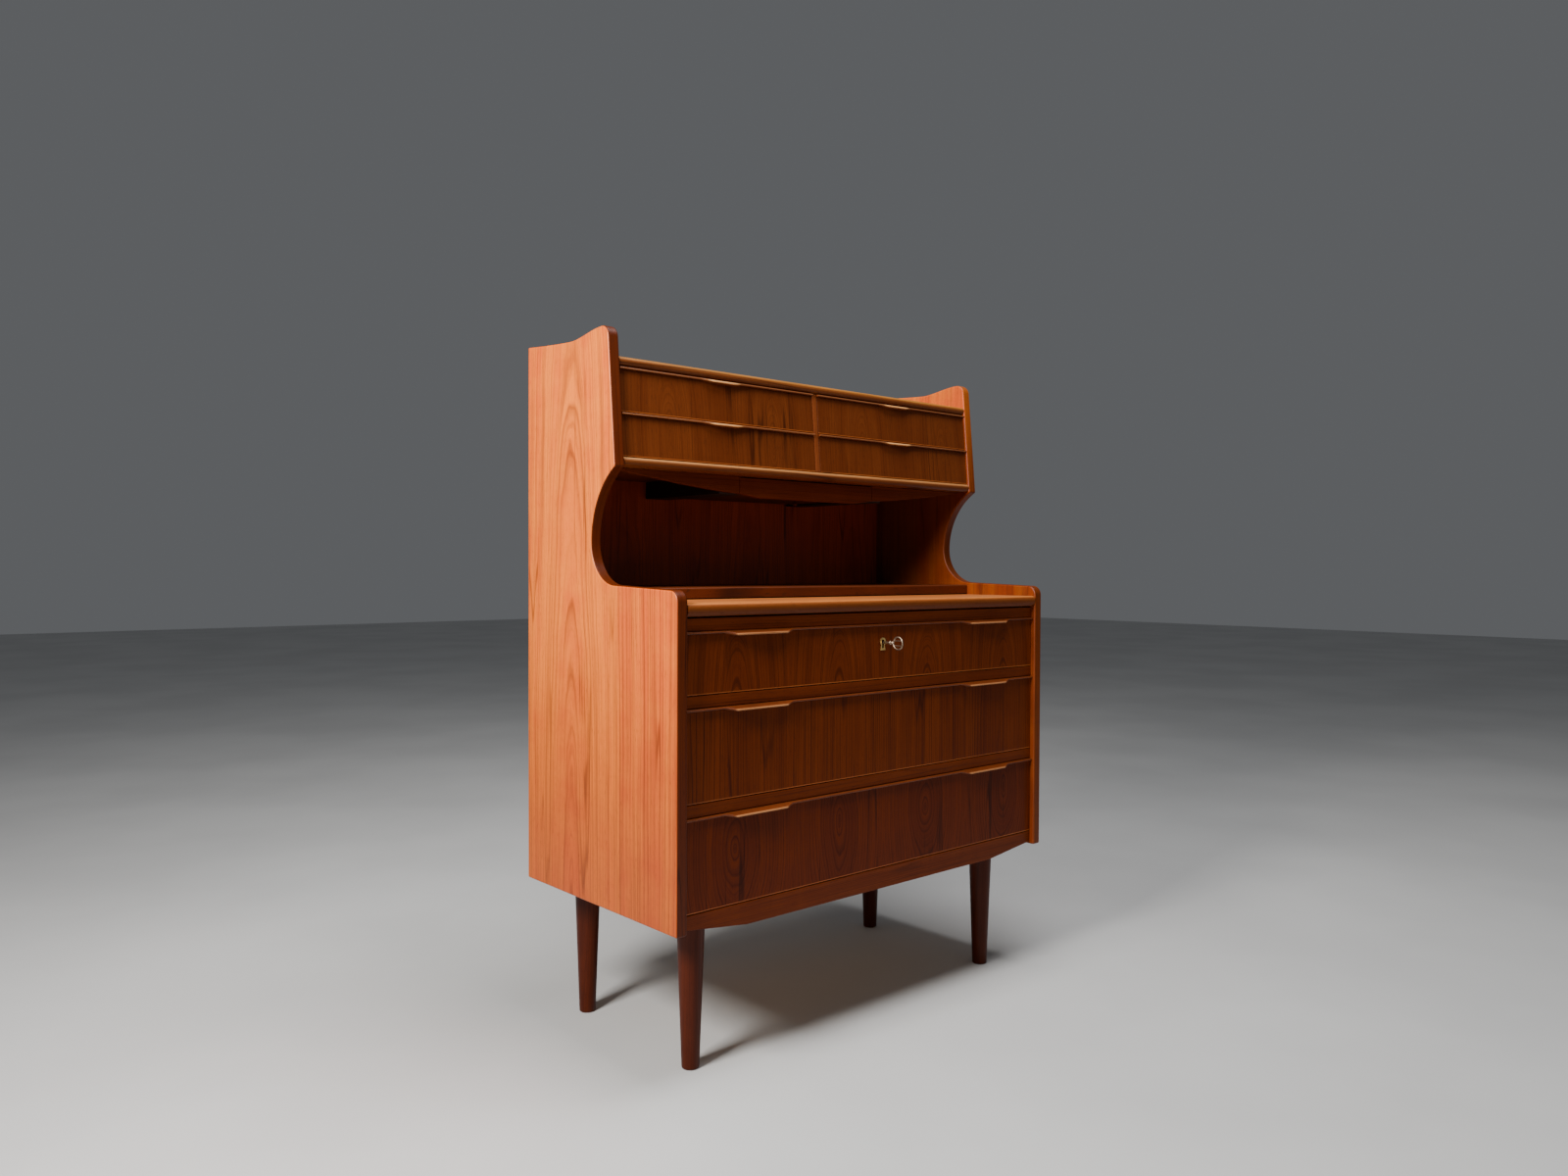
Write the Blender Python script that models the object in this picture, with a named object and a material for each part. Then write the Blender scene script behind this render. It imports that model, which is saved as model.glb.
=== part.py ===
"""A mid-century secretary desk in teak, as separate pieces that slide and turn.

Two tall scalloped sides carry a bank of four small drawers over an open niche,
a pull-out writing leaf, and three wide drawers, the top one with a lock and key.
Metres, +Z up, the drawers open towards -Y, and the legs stand on Z = 0.
Depths (y) in this file count from the front edge of the lower case; the empty
called "desk" moves everything so that the origin is under the middle of the desk.
"""

import math

import bmesh
import bpy
from mathutils import Matrix, Vector

# ---------------------------------------------------------------- driving sizes
CASE_WIDTH = 0.900
CASE_DEPTH = 0.445
SIDE_THICK = 0.020
SIDE_BOTTOM = 0.243
GAP = 0.0003  # between pieces that touch
OVERCUT = 0.002  # how far a cutter reaches past the face it cuts
KEY_PROUD = 0.038  # how far the key stands in front of the case

HALF_INSIDE = CASE_WIDTH / 2 - SIDE_THICK
BOARD_END = HALF_INSIDE - GAP  # where a board between the sides ends

# Outline of the sides
SHOULDER_Z = 0.760  # top edge beside the writing leaf, at the front
SHOULDER_RADIUS = 0.018
SCOOP_FLOOR_Z = 0.765
SCOOP_RADIUS = 0.070
SCOOP_DEEP_Y = 0.237
BANK_CORNER = (0.168, 0.954)  # lower front corner of the drawer bank (y, z)
BANK_LEAN = 0.0905  # metres back for each metre up, along the bank's front
HORN_TOP_Z = 1.1815
HORN_RADIUS = 0.020
DIP = (0.302, 1.170)
BACK_TOP_Z = 1.180
CURVE_POWER = 1.3  # of the slow curves at the sides' back and along the upper aprons
SIDE_EDGE = 0.003  # rounding of the sides' edges

# Lower case
RECESS = 0.010  # drawer fronts and rails behind the sides' front edge
RAIL_DEEP = 0.020
LEAF_Z = (0.7200, 0.7400)
LEAF_REST_Z = 0.7195  # top of the leaf's runners, a little above the top rail
RAILS_Z = {"rail_top": (0.6975, 0.7172), "rail_middle": (0.5810, 0.5995), "rail_lower": (0.4160, 0.4350)}
DRAWERS_Z = {
    "drawer_top": (0.6010, 0.6970),
    "drawer_middle": (0.4365, 0.5800),
    "drawer_bottom": (0.2705, 0.4150),
}
FRONT_THICK = 0.018
FRONT_CLEAR = 0.001  # beside a wide front, and beside the leaf
BOX_CLEAR = 0.0015
BOX_HIGH = {"drawer_top": 0.080, "drawer_middle": 0.118, "drawer_bottom": 0.118}
BOX_WALL = 0.012
BOX_BACK_Y = 0.425
BOTTOM_PANEL_Z = (0.2505, 0.2690)
APRON_CLEAR = 0.0015  # between the bottom drawer and the apron below it
APRON_TOP_Z = DRAWERS_Z["drawer_bottom"][0] - APRON_CLEAR
APRON_END_Z = 0.248
APRON_MIDDLE_Z = 0.233
APRON_CORNER_X = 0.305
BACK_PANEL_Y = (0.437, 0.443)
BOARD_BACK_Y = BACK_PANEL_Y[0] - GAP
BACK_JOINT_Z = 0.734  # where the lower and the upper back meet

# Lips and pulls: a strip along each front's top edge that widens into wings
LIP_THICK = 0.0042
LIP_PROUD = 0.005
NOSE_SHAVE = 0.0004  # the lip's nose is thinner than its root by this much above and below
WING_DROP = 0.0036  # a pull slopes down, so that its nose lies lower than the lip's
WING_ROOT = 0.0044  # a pull's underside meets the front lower than the lip's does
WING_X = 0.283
WING_HALF = 0.051
WING_BEVEL = 0.022
WING_PROUD = 0.007
SMALL_WING_HALF = 0.018
SMALL_WING_BEVEL = 0.032
SMALL_WING_PROUD = 0.005
SMALL_WING_DROP = 0.0018
SMALL_WING_ROOT = 0.0026

# Niche and upper bank
NICHE_FLOOR_Z = (0.7420, 0.7600)
NICHE_FLOOR_Y = 0.173
NICHE_EDGE = 0.003  # rounding of its front edge
BANK_FLOOR_Z = (0.9555, 0.9705)
BANK_TOP_Z = (1.1175, 1.1330)
BANK_ROWS_Z = {"lower": (0.9715, 1.0425), "upper": (1.0437, 1.1165)}
BANK_RECESS = 0.006
NOSE_RECESS = 0.002
SHELF_Z = (1.0400, 1.0450)
SHELF_SETBACK = 0.006  # behind the small fronts
DIVIDER_HALF = 0.0058
SMALL_FRONT_THICK = 0.014
SMALL_WALL = 0.008
SMALL_BOX_HIGH = 0.055
SMALL_FRONT_CLEAR = 0.0007  # beside the divider
SMALL_BOX_CLEAR = 0.0008

# Tray under the bank
TRAY_Y = 0.200
TRAY_HALF = 0.1675
TRAY_FRONT_THICK = 0.012
TRAY_EDGE_Z = 0.9253  # lower edge of the tray's front at its ends
TRAY_LOW_Z = 0.9190  # and along its middle
TRAY_FLAT_HALF = 0.120
TRAY_TOP_Z = 0.9537
TRAY_CLEAR = 0.0008
TRAY_WALL = 0.008
TRAY_FLOOR_Z = 0.9271
TRAY_FLOOR_THICK = 0.004
TRAY_LEDGE_Z = (0.9240, 0.9268)
TRAY_LEDGE_X = 0.1520
TRAY_WEB_X = (TRAY_HALF + 0.0010, 0.2050)
APRON_LEAST = 0.0025  # height that is left of an upper apron at the case side
KNOB_Y = 0.240

# Legs
LEG_X = 0.363
LEG_Y = (0.081, 0.387)
LEG_TOP_RADIUS = 0.0232
LEG_FOOT_RADIUS = 0.0143
TENON_RADIUS = 0.008
TENON_LONG = 0.0135
FOOT_CHAMFER = 0.0015

# Lock and key
KEY_Z = 0.6645
LOCK_HALF = 0.018
LOCK_Y = (0.0165, 0.0275)
LOCK_LOW_Z = 0.6485
LOCK_LOWER = 0.0010  # the lock's top below the drawer front's
BOLT_HALF = 0.009
BOLT_Y = (0.0195, 0.0245)
BOLT_LOW_Z = 0.6750
BOLT_TOP_Z = 0.6955
MORTISE_CLEAR = 0.001
MORTISE_DEEP = 0.0082  # leaves room for the bolt's throw of 6 mm
STRIKE_HALF = 0.019
STRIKE_Y = (0.0150, 0.0275)
STRIKE_THICK = 0.0010
WARD_RADIUS = 0.0098
KEY_SHAFT_RADIUS = 0.0020
# Each keyhole: radius of its round, half width of its slot, foot of the slot, middle of the round
FRONT_KEYHOLE = (0.0038, 0.0022, KEY_Z - 0.0098, KEY_Z + 0.0015)
LOCK_KEYHOLE = (0.0027, 0.0013, KEY_Z - 0.0092, KEY_Z)
ESCUTCHEON_THICK = 0.0012
ESCUTCHEON_RADIUS = 0.0075
ESCUTCHEON_Z = KEY_Z + 0.0015  # middle of its round
ESCUTCHEON_LOW_Z = KEY_Z - 0.0135
ESCUTCHEON_NECK_HALF = 0.0042
ESCUTCHEON_FOOT_HALF = 0.0062
BOW_Y = -0.0255
BOW_RADIUS = 0.0105
BOW_WIRE = 0.0020
COLLAR_RADIUS = 0.0030
COLLAR_Y = (0.0030, 0.0055, 0.0065)  # where it is full, ends and meets the shaft, behind the bow
BOW_BAR_Z = 0.0042  # of the two bars in the bow, above and below its middle
BOW_BAR_HALF = (0.0012, 0.0009)  # along X and Z
BIT_HALF = 0.0009
BIT_LONG = 0.0085
BIT_CLEAR = 0.0004  # between the bit and the front of the bolt's track
TIP_CLEAR = 0.0002  # between the key's tip and the back of the track

# Runners, and the grooves that hold the drawers' bottoms
DRAWER_RUNNER_Y = 0.0313
RUNNER_WIDE = 0.0127
RUNNER_HIGH = 0.015
LEAF_RUNNER_HIGH = 0.0165
GROOVE_LIFT = 0.005
GROOVE_DEEP = 0.004
GROOVE_HIGH = 0.0046
PANEL_THICK = 0.0040
LEAF_JOINT_Y = 0.020  # where the leaf's lip meets its panel
LEAF_BACK_Y = 0.412
LEAF_NOSE = 0.0045  # rounding of the lip's upper edge
LEAF_UNDERCUT = 0.009

BODY_ORIGINS = {
    "carcass": (0.0, 0.0, 0.0),
    "writing_leaf": (0.0, 0.0, 0.730),
    "drawer_top": (0.0, RECESS, 0.649),
    "drawer_middle": (0.0, RECESS, 0.508),
    "drawer_bottom": (0.0, RECESS, 0.343),
    "small_drawer_upper_left": (-0.218, 0.189, 1.080),
    "small_drawer_upper_right": (0.218, 0.189, 1.080),
    "small_drawer_lower_left": (-0.218, 0.182, 1.007),
    "small_drawer_lower_right": (0.218, 0.182, 1.007),
    "tray": (0.0, TRAY_Y, 0.935),
    "key": (0.0, RECESS, KEY_Z),
    "lock_bolt": (0.0, 0.022, KEY_Z),
}
BODIES = {}


# ---------------------------------------------------------------- scene helpers
def clear_scene():
    for item in list(bpy.data.objects):
        bpy.data.objects.remove(item)


def make_material(name, colour, roughness, metallic=0.0):
    material = bpy.data.materials.new(name)
    material.use_nodes = True
    shader = material.node_tree.nodes["Principled BSDF"]
    shader.inputs["Base Color"].default_value = (*colour, 1.0)
    shader.inputs["Roughness"].default_value = roughness
    shader.inputs["Metallic"].default_value = metallic
    material.diffuse_color = (*colour, 1.0)
    return material


def make_empty(name, location, parent=None):
    empty = bpy.data.objects.new(name, None)
    bpy.context.collection.objects.link(empty)
    empty.location = location
    empty.parent = parent
    return empty


def make_bodies():
    """One empty for each body, on its joint's axis, all under the desk's own empty."""
    front = (KEY_PROUD - CASE_DEPTH) / 2
    desk = make_empty("desk", (0.0, front, 0.0))
    for name, origin in BODY_ORIGINS.items():
        BODIES[name] = make_empty("body_" + name, origin, desk)


def add_piece(name, mesh, material, body):
    """Links a mesh given in the desk's own coordinates, with its origin moved to its body's."""
    origin = Vector(BODY_ORIGINS[body])
    mesh.transform(Matrix.Translation(-origin))
    mesh.materials.append(material)
    piece = bpy.data.objects.new(name, mesh)
    bpy.context.collection.objects.link(piece)
    piece.parent = BODIES[body]
    return piece


def mesh_from(name, shape):
    bmesh.ops.recalc_face_normals(shape, faces=shape.faces)
    mesh = bpy.data.meshes.new(name)
    shape.to_mesh(mesh)
    shape.free()
    return mesh


def smooth(mesh, sharp_degrees=35.0):
    mesh.shade_smooth()
    mesh.set_sharp_from_angle(angle=math.radians(sharp_degrees))
    return mesh


def loft(name, loops, join_ends=False):
    """A closed body through loops of points. The first and last loops are capped, or joined to each other."""
    shape = bmesh.new()
    rings = [[shape.verts.new(point) for point in loop] for loop in loops]
    pairs = list(zip(rings, rings[1:]))
    if join_ends:
        pairs.append((rings[-1], rings[0]))
    else:
        shape.faces.new(rings[0])
        shape.faces.new(rings[-1])
    for first, second in pairs:
        for i in range(len(first)):
            j = (i + 1) % len(first)
            shape.faces.new((first[i], first[j], second[j], second[i]))
    return mesh_from(name, shape)


def extrude_x(name, outline, x_low, x_high):
    """A prism along X from an outline of (y, z) points."""
    return loft(name, [[(x, y, z) for y, z in outline] for x in (x_low, x_high)])


def extrude_y(name, outline, y_low, y_high):
    """A prism along Y from an outline of (x, z) points."""
    return loft(name, [[(x, y, z) for x, z in outline] for y in (y_low, y_high)])


def block(name, x, y, z):
    """A box from its (low, high) pairs."""
    outline = [(y[0], z[0]), (y[1], z[0]), (y[1], z[1]), (y[0], z[1])]
    return extrude_x(name, outline, x[0], x[1])


def circle(centre, radius, steps):
    """Points evenly round a circle."""
    angles = [2 * math.pi * i / steps for i in range(steps)]
    return [(centre[0] + radius * math.cos(a), centre[1] + radius * math.sin(a)) for a in angles]


def turned(name, profile, centre, steps=24):
    """A solid of revolution about the vertical through centre, from (radius, z) pairs."""
    loops = []
    for radius, z in profile:
        loops.append([(x, y, z) for x, y in circle(centre, radius, steps)])
    return loft(name, loops)


def turned_y(name, profile, centre, steps=16):
    """A solid of revolution about the line through centre along Y, from (radius, y) pairs."""
    loops = []
    for radius, y in profile:
        loops.append([(x, y, z) for x, z in circle(centre, radius, steps)])
    return loft(name, loops)


def ring(name, centre, radius, wire, steps=24, wire_steps=8):
    """A torus that lies in the YZ plane."""
    loops = []
    for i in range(steps):
        around = 2 * math.pi * i / steps
        loop = []
        for j in range(wire_steps):
            across = 2 * math.pi * j / wire_steps
            reach = radius + wire * math.cos(across)
            x = centre[0] + wire * math.sin(across)
            loop.append((x, centre[1] + reach * math.cos(around), centre[2] + reach * math.sin(around)))
        loops.append(loop)
    return loft(name, loops, join_ends=True)


def combine(piece, mesh, operation, body):
    """Cuts a mesh out of a piece, or joins it on, with a hidden helper object."""
    name = f"{piece.name}_{operation.lower()}_{len(piece.modifiers)}"
    helper = add_piece(name, mesh, piece.data.materials[0], body)
    helper.hide_render = True
    helper.display_type = "WIRE"
    boolean = piece.modifiers.new(helper.name, "BOOLEAN")
    boolean.operation = operation
    boolean.solver = "EXACT"
    boolean.object = helper
    return piece


def soften(piece, width, segments=2):
    """Rounds a piece's sharp edges."""
    bevel = piece.modifiers.new("soft_edges", "BEVEL")
    bevel.width = width
    bevel.segments = segments
    bevel.limit_method = "ANGLE"
    bevel.angle_limit = math.radians(40)
    return piece


def arc(centre, radius, start_degrees, end_degrees, steps):
    """Points of an arc, both ends included."""
    points = []
    for i in range(steps + 1):
        angle = math.radians(start_degrees + (end_degrees - start_degrees) * i / steps)
        points.append((centre[0] + radius * math.cos(angle), centre[1] + radius * math.sin(angle)))
    return points


def bank_front(z):
    """Depth of the bank's leaning front edge at height z."""
    return BANK_CORNER[0] + BANK_LEAN * (z - BANK_CORNER[1])


def ease(share):
    return share * share * (3 - 2 * share)


# ---------------------------------------------------------------- case
def side_outline():
    """Outline (y, z) of a scalloped side, from its lower front corner up and round."""
    outline = [(0.0, SIDE_BOTTOM)]
    outline += arc((SHOULDER_RADIUS, SHOULDER_Z - SHOULDER_RADIUS), SHOULDER_RADIUS, 180, 90, 5)
    scoop_middle = (SCOOP_DEEP_Y - SCOOP_RADIUS, SCOOP_FLOOR_Z + SCOOP_RADIUS)
    outline += arc(scoop_middle, SCOOP_RADIUS, 270, 360, 8)
    # The upper arc leaves the deepest point upright and meets the bank's lower corner.
    back = SCOOP_DEEP_Y - BANK_CORNER[0]
    rise = BANK_CORNER[1] - scoop_middle[1]
    radius = (back**2 + rise**2) / (2 * back)
    end = math.degrees(math.asin(rise / radius))
    outline += arc((SCOOP_DEEP_Y - radius, scoop_middle[1]), radius, 0, end, 8)[1:]
    # The horn is tangent to the leaning front and to a level line at its top.
    lean = math.degrees(math.atan(BANK_LEAN))
    horn_z = HORN_TOP_Z - HORN_RADIUS
    touch_z = horn_z + HORN_RADIUS * math.sin(math.radians(lean))
    horn_y = bank_front(touch_z) + HORN_RADIUS * math.cos(math.radians(lean))
    outline += arc((horn_y, horn_z), HORN_RADIUS, 180 - lean, 90, 6)
    for i in range(1, 9):
        share = i / 8
        y = horn_y + (DIP[0] - horn_y) * share
        outline.append((y, HORN_TOP_Z + (DIP[1] - HORN_TOP_Z) * ease(share)))
    for i in range(1, 5):
        share = i / 4
        y = DIP[0] + (CASE_DEPTH - DIP[0]) * share
        outline.append((y, DIP[1] + (BACK_TOP_Z - DIP[1]) * share**CURVE_POWER))
    outline.append((CASE_DEPTH, SIDE_BOTTOM))
    return outline


def nosed_board(name, z, front_y, material, body="carcass"):
    """A board between the sides whose front edge is a full half round."""
    radius = (z[1] - z[0]) / 2
    nose = arc((front_y + radius, z[0] + radius), radius, 270, 90, 8)
    outline = nose + [(BOARD_BACK_Y, z[1]), (BOARD_BACK_Y, z[0])]
    return add_piece(name, smooth(extrude_x(name, outline, -BOARD_END, BOARD_END)), material, body)


def make_sides(teak):
    for name, low in (("side_left", -CASE_WIDTH / 2), ("side_right", HALF_INSIDE)):
        mesh = extrude_x(name, side_outline(), low, low + SIDE_THICK)
        soften(add_piece(name, smooth(mesh), teak, "carcass"), SIDE_EDGE)


def fit_strike_plate(rail, rail_low, steel):
    """Mortise in the top rail for the lock's bolt, and the let-in plate that surrounds it."""
    mortise_x = (-BOLT_HALF - MORTISE_CLEAR, BOLT_HALF + MORTISE_CLEAR)
    mortise_y = (BOLT_Y[0] - MORTISE_CLEAR, BOLT_Y[1] + MORTISE_CLEAR)
    mortise_z = (rail_low - OVERCUT, rail_low + MORTISE_DEEP)
    combine(rail, block("mortise", mortise_x, mortise_y, mortise_z), "DIFFERENCE", "carcass")
    seat_x = (-STRIKE_HALF - GAP, STRIKE_HALF + GAP)
    seat_y = (STRIKE_Y[0] - GAP, STRIKE_Y[1] + GAP)
    seat_z = (rail_low - OVERCUT, rail_low + STRIKE_THICK + GAP)
    combine(rail, block("seat", seat_x, seat_y, seat_z), "DIFFERENCE", "carcass")
    mesh = block("strike_plate", (-STRIKE_HALF, STRIKE_HALF), STRIKE_Y, (rail_low, rail_low + STRIKE_THICK))
    plate = add_piece("strike_plate", mesh, steel, "carcass")
    combine(plate, block("slot", mortise_x, mortise_y, mortise_z), "DIFFERENCE", "carcass")


def make_lower_case(teak, edge, ply, runner_wood, steel):
    span = (-BOARD_END, BOARD_END)
    rail_y = (RECESS, RECESS + RAIL_DEEP)
    for name, z in RAILS_Z.items():
        rail = add_piece(name, block(name, span, rail_y, z), edge, "carcass")
        if name == "rail_top":
            fit_strike_plate(rail, z[0], steel)

    outline = [
        (-BOARD_END, APRON_TOP_Z),
        (-BOARD_END, APRON_END_Z),
        (-APRON_CORNER_X, APRON_MIDDLE_Z),
        (APRON_CORNER_X, APRON_MIDDLE_Z),
        (BOARD_END, APRON_END_Z),
        (BOARD_END, APRON_TOP_Z),
    ]
    mesh = extrude_y("bottom_apron", outline, RECESS, RECESS + FRONT_THICK)
    add_piece("bottom_apron", mesh, edge, "carcass")

    panel_y = (RECESS + FRONT_THICK + GAP, BOARD_BACK_Y)
    bottom = add_piece("bottom_panel", block("bottom_panel", span, panel_y, BOTTOM_PANEL_Z), ply, "carcass")
    for x in (-LEG_X, LEG_X):
        for y in LEG_Y:
            hole = [
                (TENON_RADIUS + GAP, BOTTOM_PANEL_Z[0] - OVERCUT),
                (TENON_RADIUS + GAP, BOTTOM_PANEL_Z[0] + TENON_LONG + GAP),
            ]
            combine(bottom, turned("hole", hole, (x, y)), "DIFFERENCE", "carcass")

    lower_back_z = (BOTTOM_PANEL_Z[0], BACK_JOINT_Z)
    upper_back_z = (BACK_JOINT_Z + GAP, BANK_TOP_Z[0] - GAP)
    add_piece("back_lower", block("back_lower", span, BACK_PANEL_Y, lower_back_z), ply, "carcass")
    add_piece("back_upper", block("back_upper", span, BACK_PANEL_Y, upper_back_z), teak, "carcass")

    runner_y = (DRAWER_RUNNER_Y, BOARD_BACK_Y)
    runners = {
        "leaf_runner": (LEAF_REST_Z, LEAF_RUNNER_HIGH),
        "top_drawer_runner": (RAILS_Z["rail_middle"][1], RUNNER_HIGH),
        "middle_drawer_runner": (RAILS_Z["rail_lower"][1], RUNNER_HIGH),
    }
    runner_inner = BOARD_END - RUNNER_WIDE
    for stem, (top, high) in runners.items():
        z = (top - high, top)
        for side, x in (("left", (-BOARD_END, -runner_inner)), ("right", (runner_inner, BOARD_END))):
            name = f"{stem}_{side}"
            add_piece(name, block(name, x, runner_y, z), runner_wood, "carcass")


def make_legs(material):
    """Turned, tapered legs with a tenon that stands in the bottom panel."""
    shoulder_z = BOTTOM_PANEL_Z[0] - GAP
    profile = [
        (LEG_FOOT_RADIUS - FOOT_CHAMFER, 0.0),
        (LEG_FOOT_RADIUS, FOOT_CHAMFER),
        (LEG_TOP_RADIUS, shoulder_z),
        (TENON_RADIUS, shoulder_z),
        (TENON_RADIUS, shoulder_z + TENON_LONG),
    ]
    for side, x in (("left", -LEG_X), ("right", LEG_X)):
        for place, y in zip(("front", "back"), LEG_Y):
            name = f"leg_{place}_{side}"
            add_piece(name, smooth(turned(name, profile, (x, y))), material, "carcass")


# ---------------------------------------------------------------- drawers
def winged_front(name, x, y_face, z, thick, wings, wing, lean=0.0):
    """A drawer front with its lip. x and z are (low, high), wings the middles of its pulls.

    wing is (half length, bevel length, how far it stands out, drop of its nose, drop of its root).
    The front leans back by lean."""
    half, bevel, proud, drop, root = wing
    stations = [(x[0], 0.0)]
    for middle in wings:
        stations += [
            (middle - half - bevel, 0.0),
            (middle - half, 1.0),
            (middle + half, 1.0),
            (middle + half + bevel, 0.0),
        ]
    stations.append((x[1], 0.0))

    loops = []
    for at, share in stations:
        reach = y_face - LIP_PROUD - proud * share
        nose = z[1] - drop * share
        section = [
            (y_face, z[0]),
            (y_face + thick, z[0]),
            (y_face + thick, z[1]),
            (y_face, z[1]),
            (reach, nose - NOSE_SHAVE),
            (reach, nose - LIP_THICK + NOSE_SHAVE),
            (y_face, z[1] - LIP_THICK - root * share),
        ]
        loops.append([(at, y + lean * (height - z[0]), height) for y, height in section])
    return loft(name, loops)


def drawer_box(name, x, y, z, wall, lean=0.0):
    """Two sides and a back as one dovetailed box, open to the front, grooved for the bottom."""
    groove_z = z[0] + GROOVE_LIFT
    section = [
        (0.0, z[0]),
        (wall, z[0]),
        (wall, groove_z),
        (wall - GROOVE_DEEP, groove_z),
        (wall - GROOVE_DEEP, groove_z + GROOVE_HIGH),
        (wall, groove_z + GROOVE_HIGH),
        (wall, z[1]),
        (0.0, z[1]),
    ]
    loops = [
        [(x[0] + inset, y[0] + lean * (height - z[0]), height) for inset, height in section],
        [(x[0] + inset, y[1] - inset, height) for inset, height in section],
        [(x[1] - inset, y[1] - inset, height) for inset, height in section],
        [(x[1] - inset, y[0] + lean * (height - z[0]), height) for inset, height in section],
    ]
    return loft(name, loops)


def drawer_bottom(name, x, y, z_low, wall):
    """The thin panel that stands in the box's grooves."""
    inset = wall - GROOVE_DEEP + GAP
    low = z_low + GROOVE_LIFT + GAP
    panel_x = (x[0] + inset, x[1] - inset)
    return block(name, panel_x, (y[0] + GAP, y[1] - inset), (low, low + PANEL_THICK))


def make_wide_drawers(teak, box_wood, ply):
    floors = {
        "drawer_top": RAILS_Z["rail_middle"][1],
        "drawer_middle": RAILS_Z["rail_lower"][1],
        "drawer_bottom": BOTTOM_PANEL_Z[1],
    }
    front_x = (-HALF_INSIDE + FRONT_CLEAR, HALF_INSIDE - FRONT_CLEAR)
    box_x = (-HALF_INSIDE + BOX_CLEAR, HALF_INSIDE - BOX_CLEAR)
    wing = (WING_HALF, WING_BEVEL, WING_PROUD, WING_DROP, WING_ROOT)
    for name, z in DRAWERS_Z.items():
        mesh = winged_front(name + "_front", front_x, RECESS, z, FRONT_THICK, (-WING_X, WING_X), wing)
        front = add_piece(name + "_front", mesh, teak, name)
        if name == "drawer_top":
            fit_lock(front, z[1])
        box_y = (RECESS + FRONT_THICK + GAP, BOX_BACK_Y)
        low = floors[name] + GAP
        box_z = (low, low + BOX_HIGH[name])
        mesh = drawer_box(name + "_box", box_x, box_y, box_z, BOX_WALL)
        add_piece(name + "_box", mesh, box_wood, name)
        panel = drawer_bottom(name + "_panel", box_x, box_y, low, BOX_WALL)
        add_piece(name + "_panel", panel, ply, name)


def make_small_drawers(teak, box_wood, ply):
    wing = (SMALL_WING_HALF, SMALL_WING_BEVEL, SMALL_WING_PROUD, SMALL_WING_DROP, SMALL_WING_ROOT)
    floors = {"lower": BANK_FLOOR_Z[1], "upper": SHELF_Z[1]}
    inner = DIVIDER_HALF + SMALL_FRONT_CLEAR
    outer = HALF_INSIDE - FRONT_CLEAR
    for row, z in BANK_ROWS_Z.items():
        for side, x in (("left", (-outer, -inner)), ("right", (inner, outer))):
            name = f"small_drawer_{row}_{side}"
            face = bank_front(z[0]) + BANK_RECESS
            middle = (x[0] + x[1]) / 2
            mesh = winged_front(name + "_front", x, face, z, SMALL_FRONT_THICK, (middle,), wing, BANK_LEAN)
            add_piece(name + "_front", mesh, teak, name)
            low = floors[row] + GAP
            box_front = bank_front(low) + BANK_RECESS + SMALL_FRONT_THICK + GAP
            box_x = (x[0] + SMALL_BOX_CLEAR, x[1] - SMALL_BOX_CLEAR)
            box_z = (low, low + SMALL_BOX_HIGH)
            mesh = drawer_box(name + "_box", box_x, (box_front, BOX_BACK_Y), box_z, SMALL_WALL, BANK_LEAN)
            add_piece(name + "_box", mesh, box_wood, name)
            panel_y = (box_front + SMALL_BOX_CLEAR, BOX_BACK_Y)
            panel = drawer_bottom(name + "_panel", box_x, panel_y, low, SMALL_WALL)
            add_piece(name + "_panel", panel, ply, name)


# ---------------------------------------------------------------- lock and key
def keyhole_outline(radius, half, low_z, centre_z, foot_half=None):
    """Outline (x, z) of a keyhole: a round with a slot below it, which may widen to a foot."""
    foot_half = foot_half or half
    start = math.degrees(math.asin(half / radius))
    points = arc((0.0, centre_z), radius, -90 + start, 270 - start, 14)
    return points + [(-foot_half, low_z), (foot_half, low_z)]


def cut_keyhole(piece, keyhole, y_low, y_high):
    cutter = extrude_y("keyhole", keyhole_outline(*keyhole), y_low, y_high)
    combine(piece, cutter, "DIFFERENCE", "drawer_top")


def fit_lock(front, top_z):
    """Recess for the lock in the back of the drawer front, and the keyhole through it."""
    recess_x = (-LOCK_HALF - GAP, LOCK_HALF + GAP)
    recess_y = (LOCK_Y[0] - GAP, RECESS + FRONT_THICK + OVERCUT)
    recess = block("recess", recess_x, recess_y, (LOCK_LOW_Z - GAP, top_z + OVERCUT))
    combine(front, recess, "DIFFERENCE", "drawer_top")
    cut_keyhole(front, FRONT_KEYHOLE, RECESS - OVERCUT, LOCK_Y[0] + OVERCUT)


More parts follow.
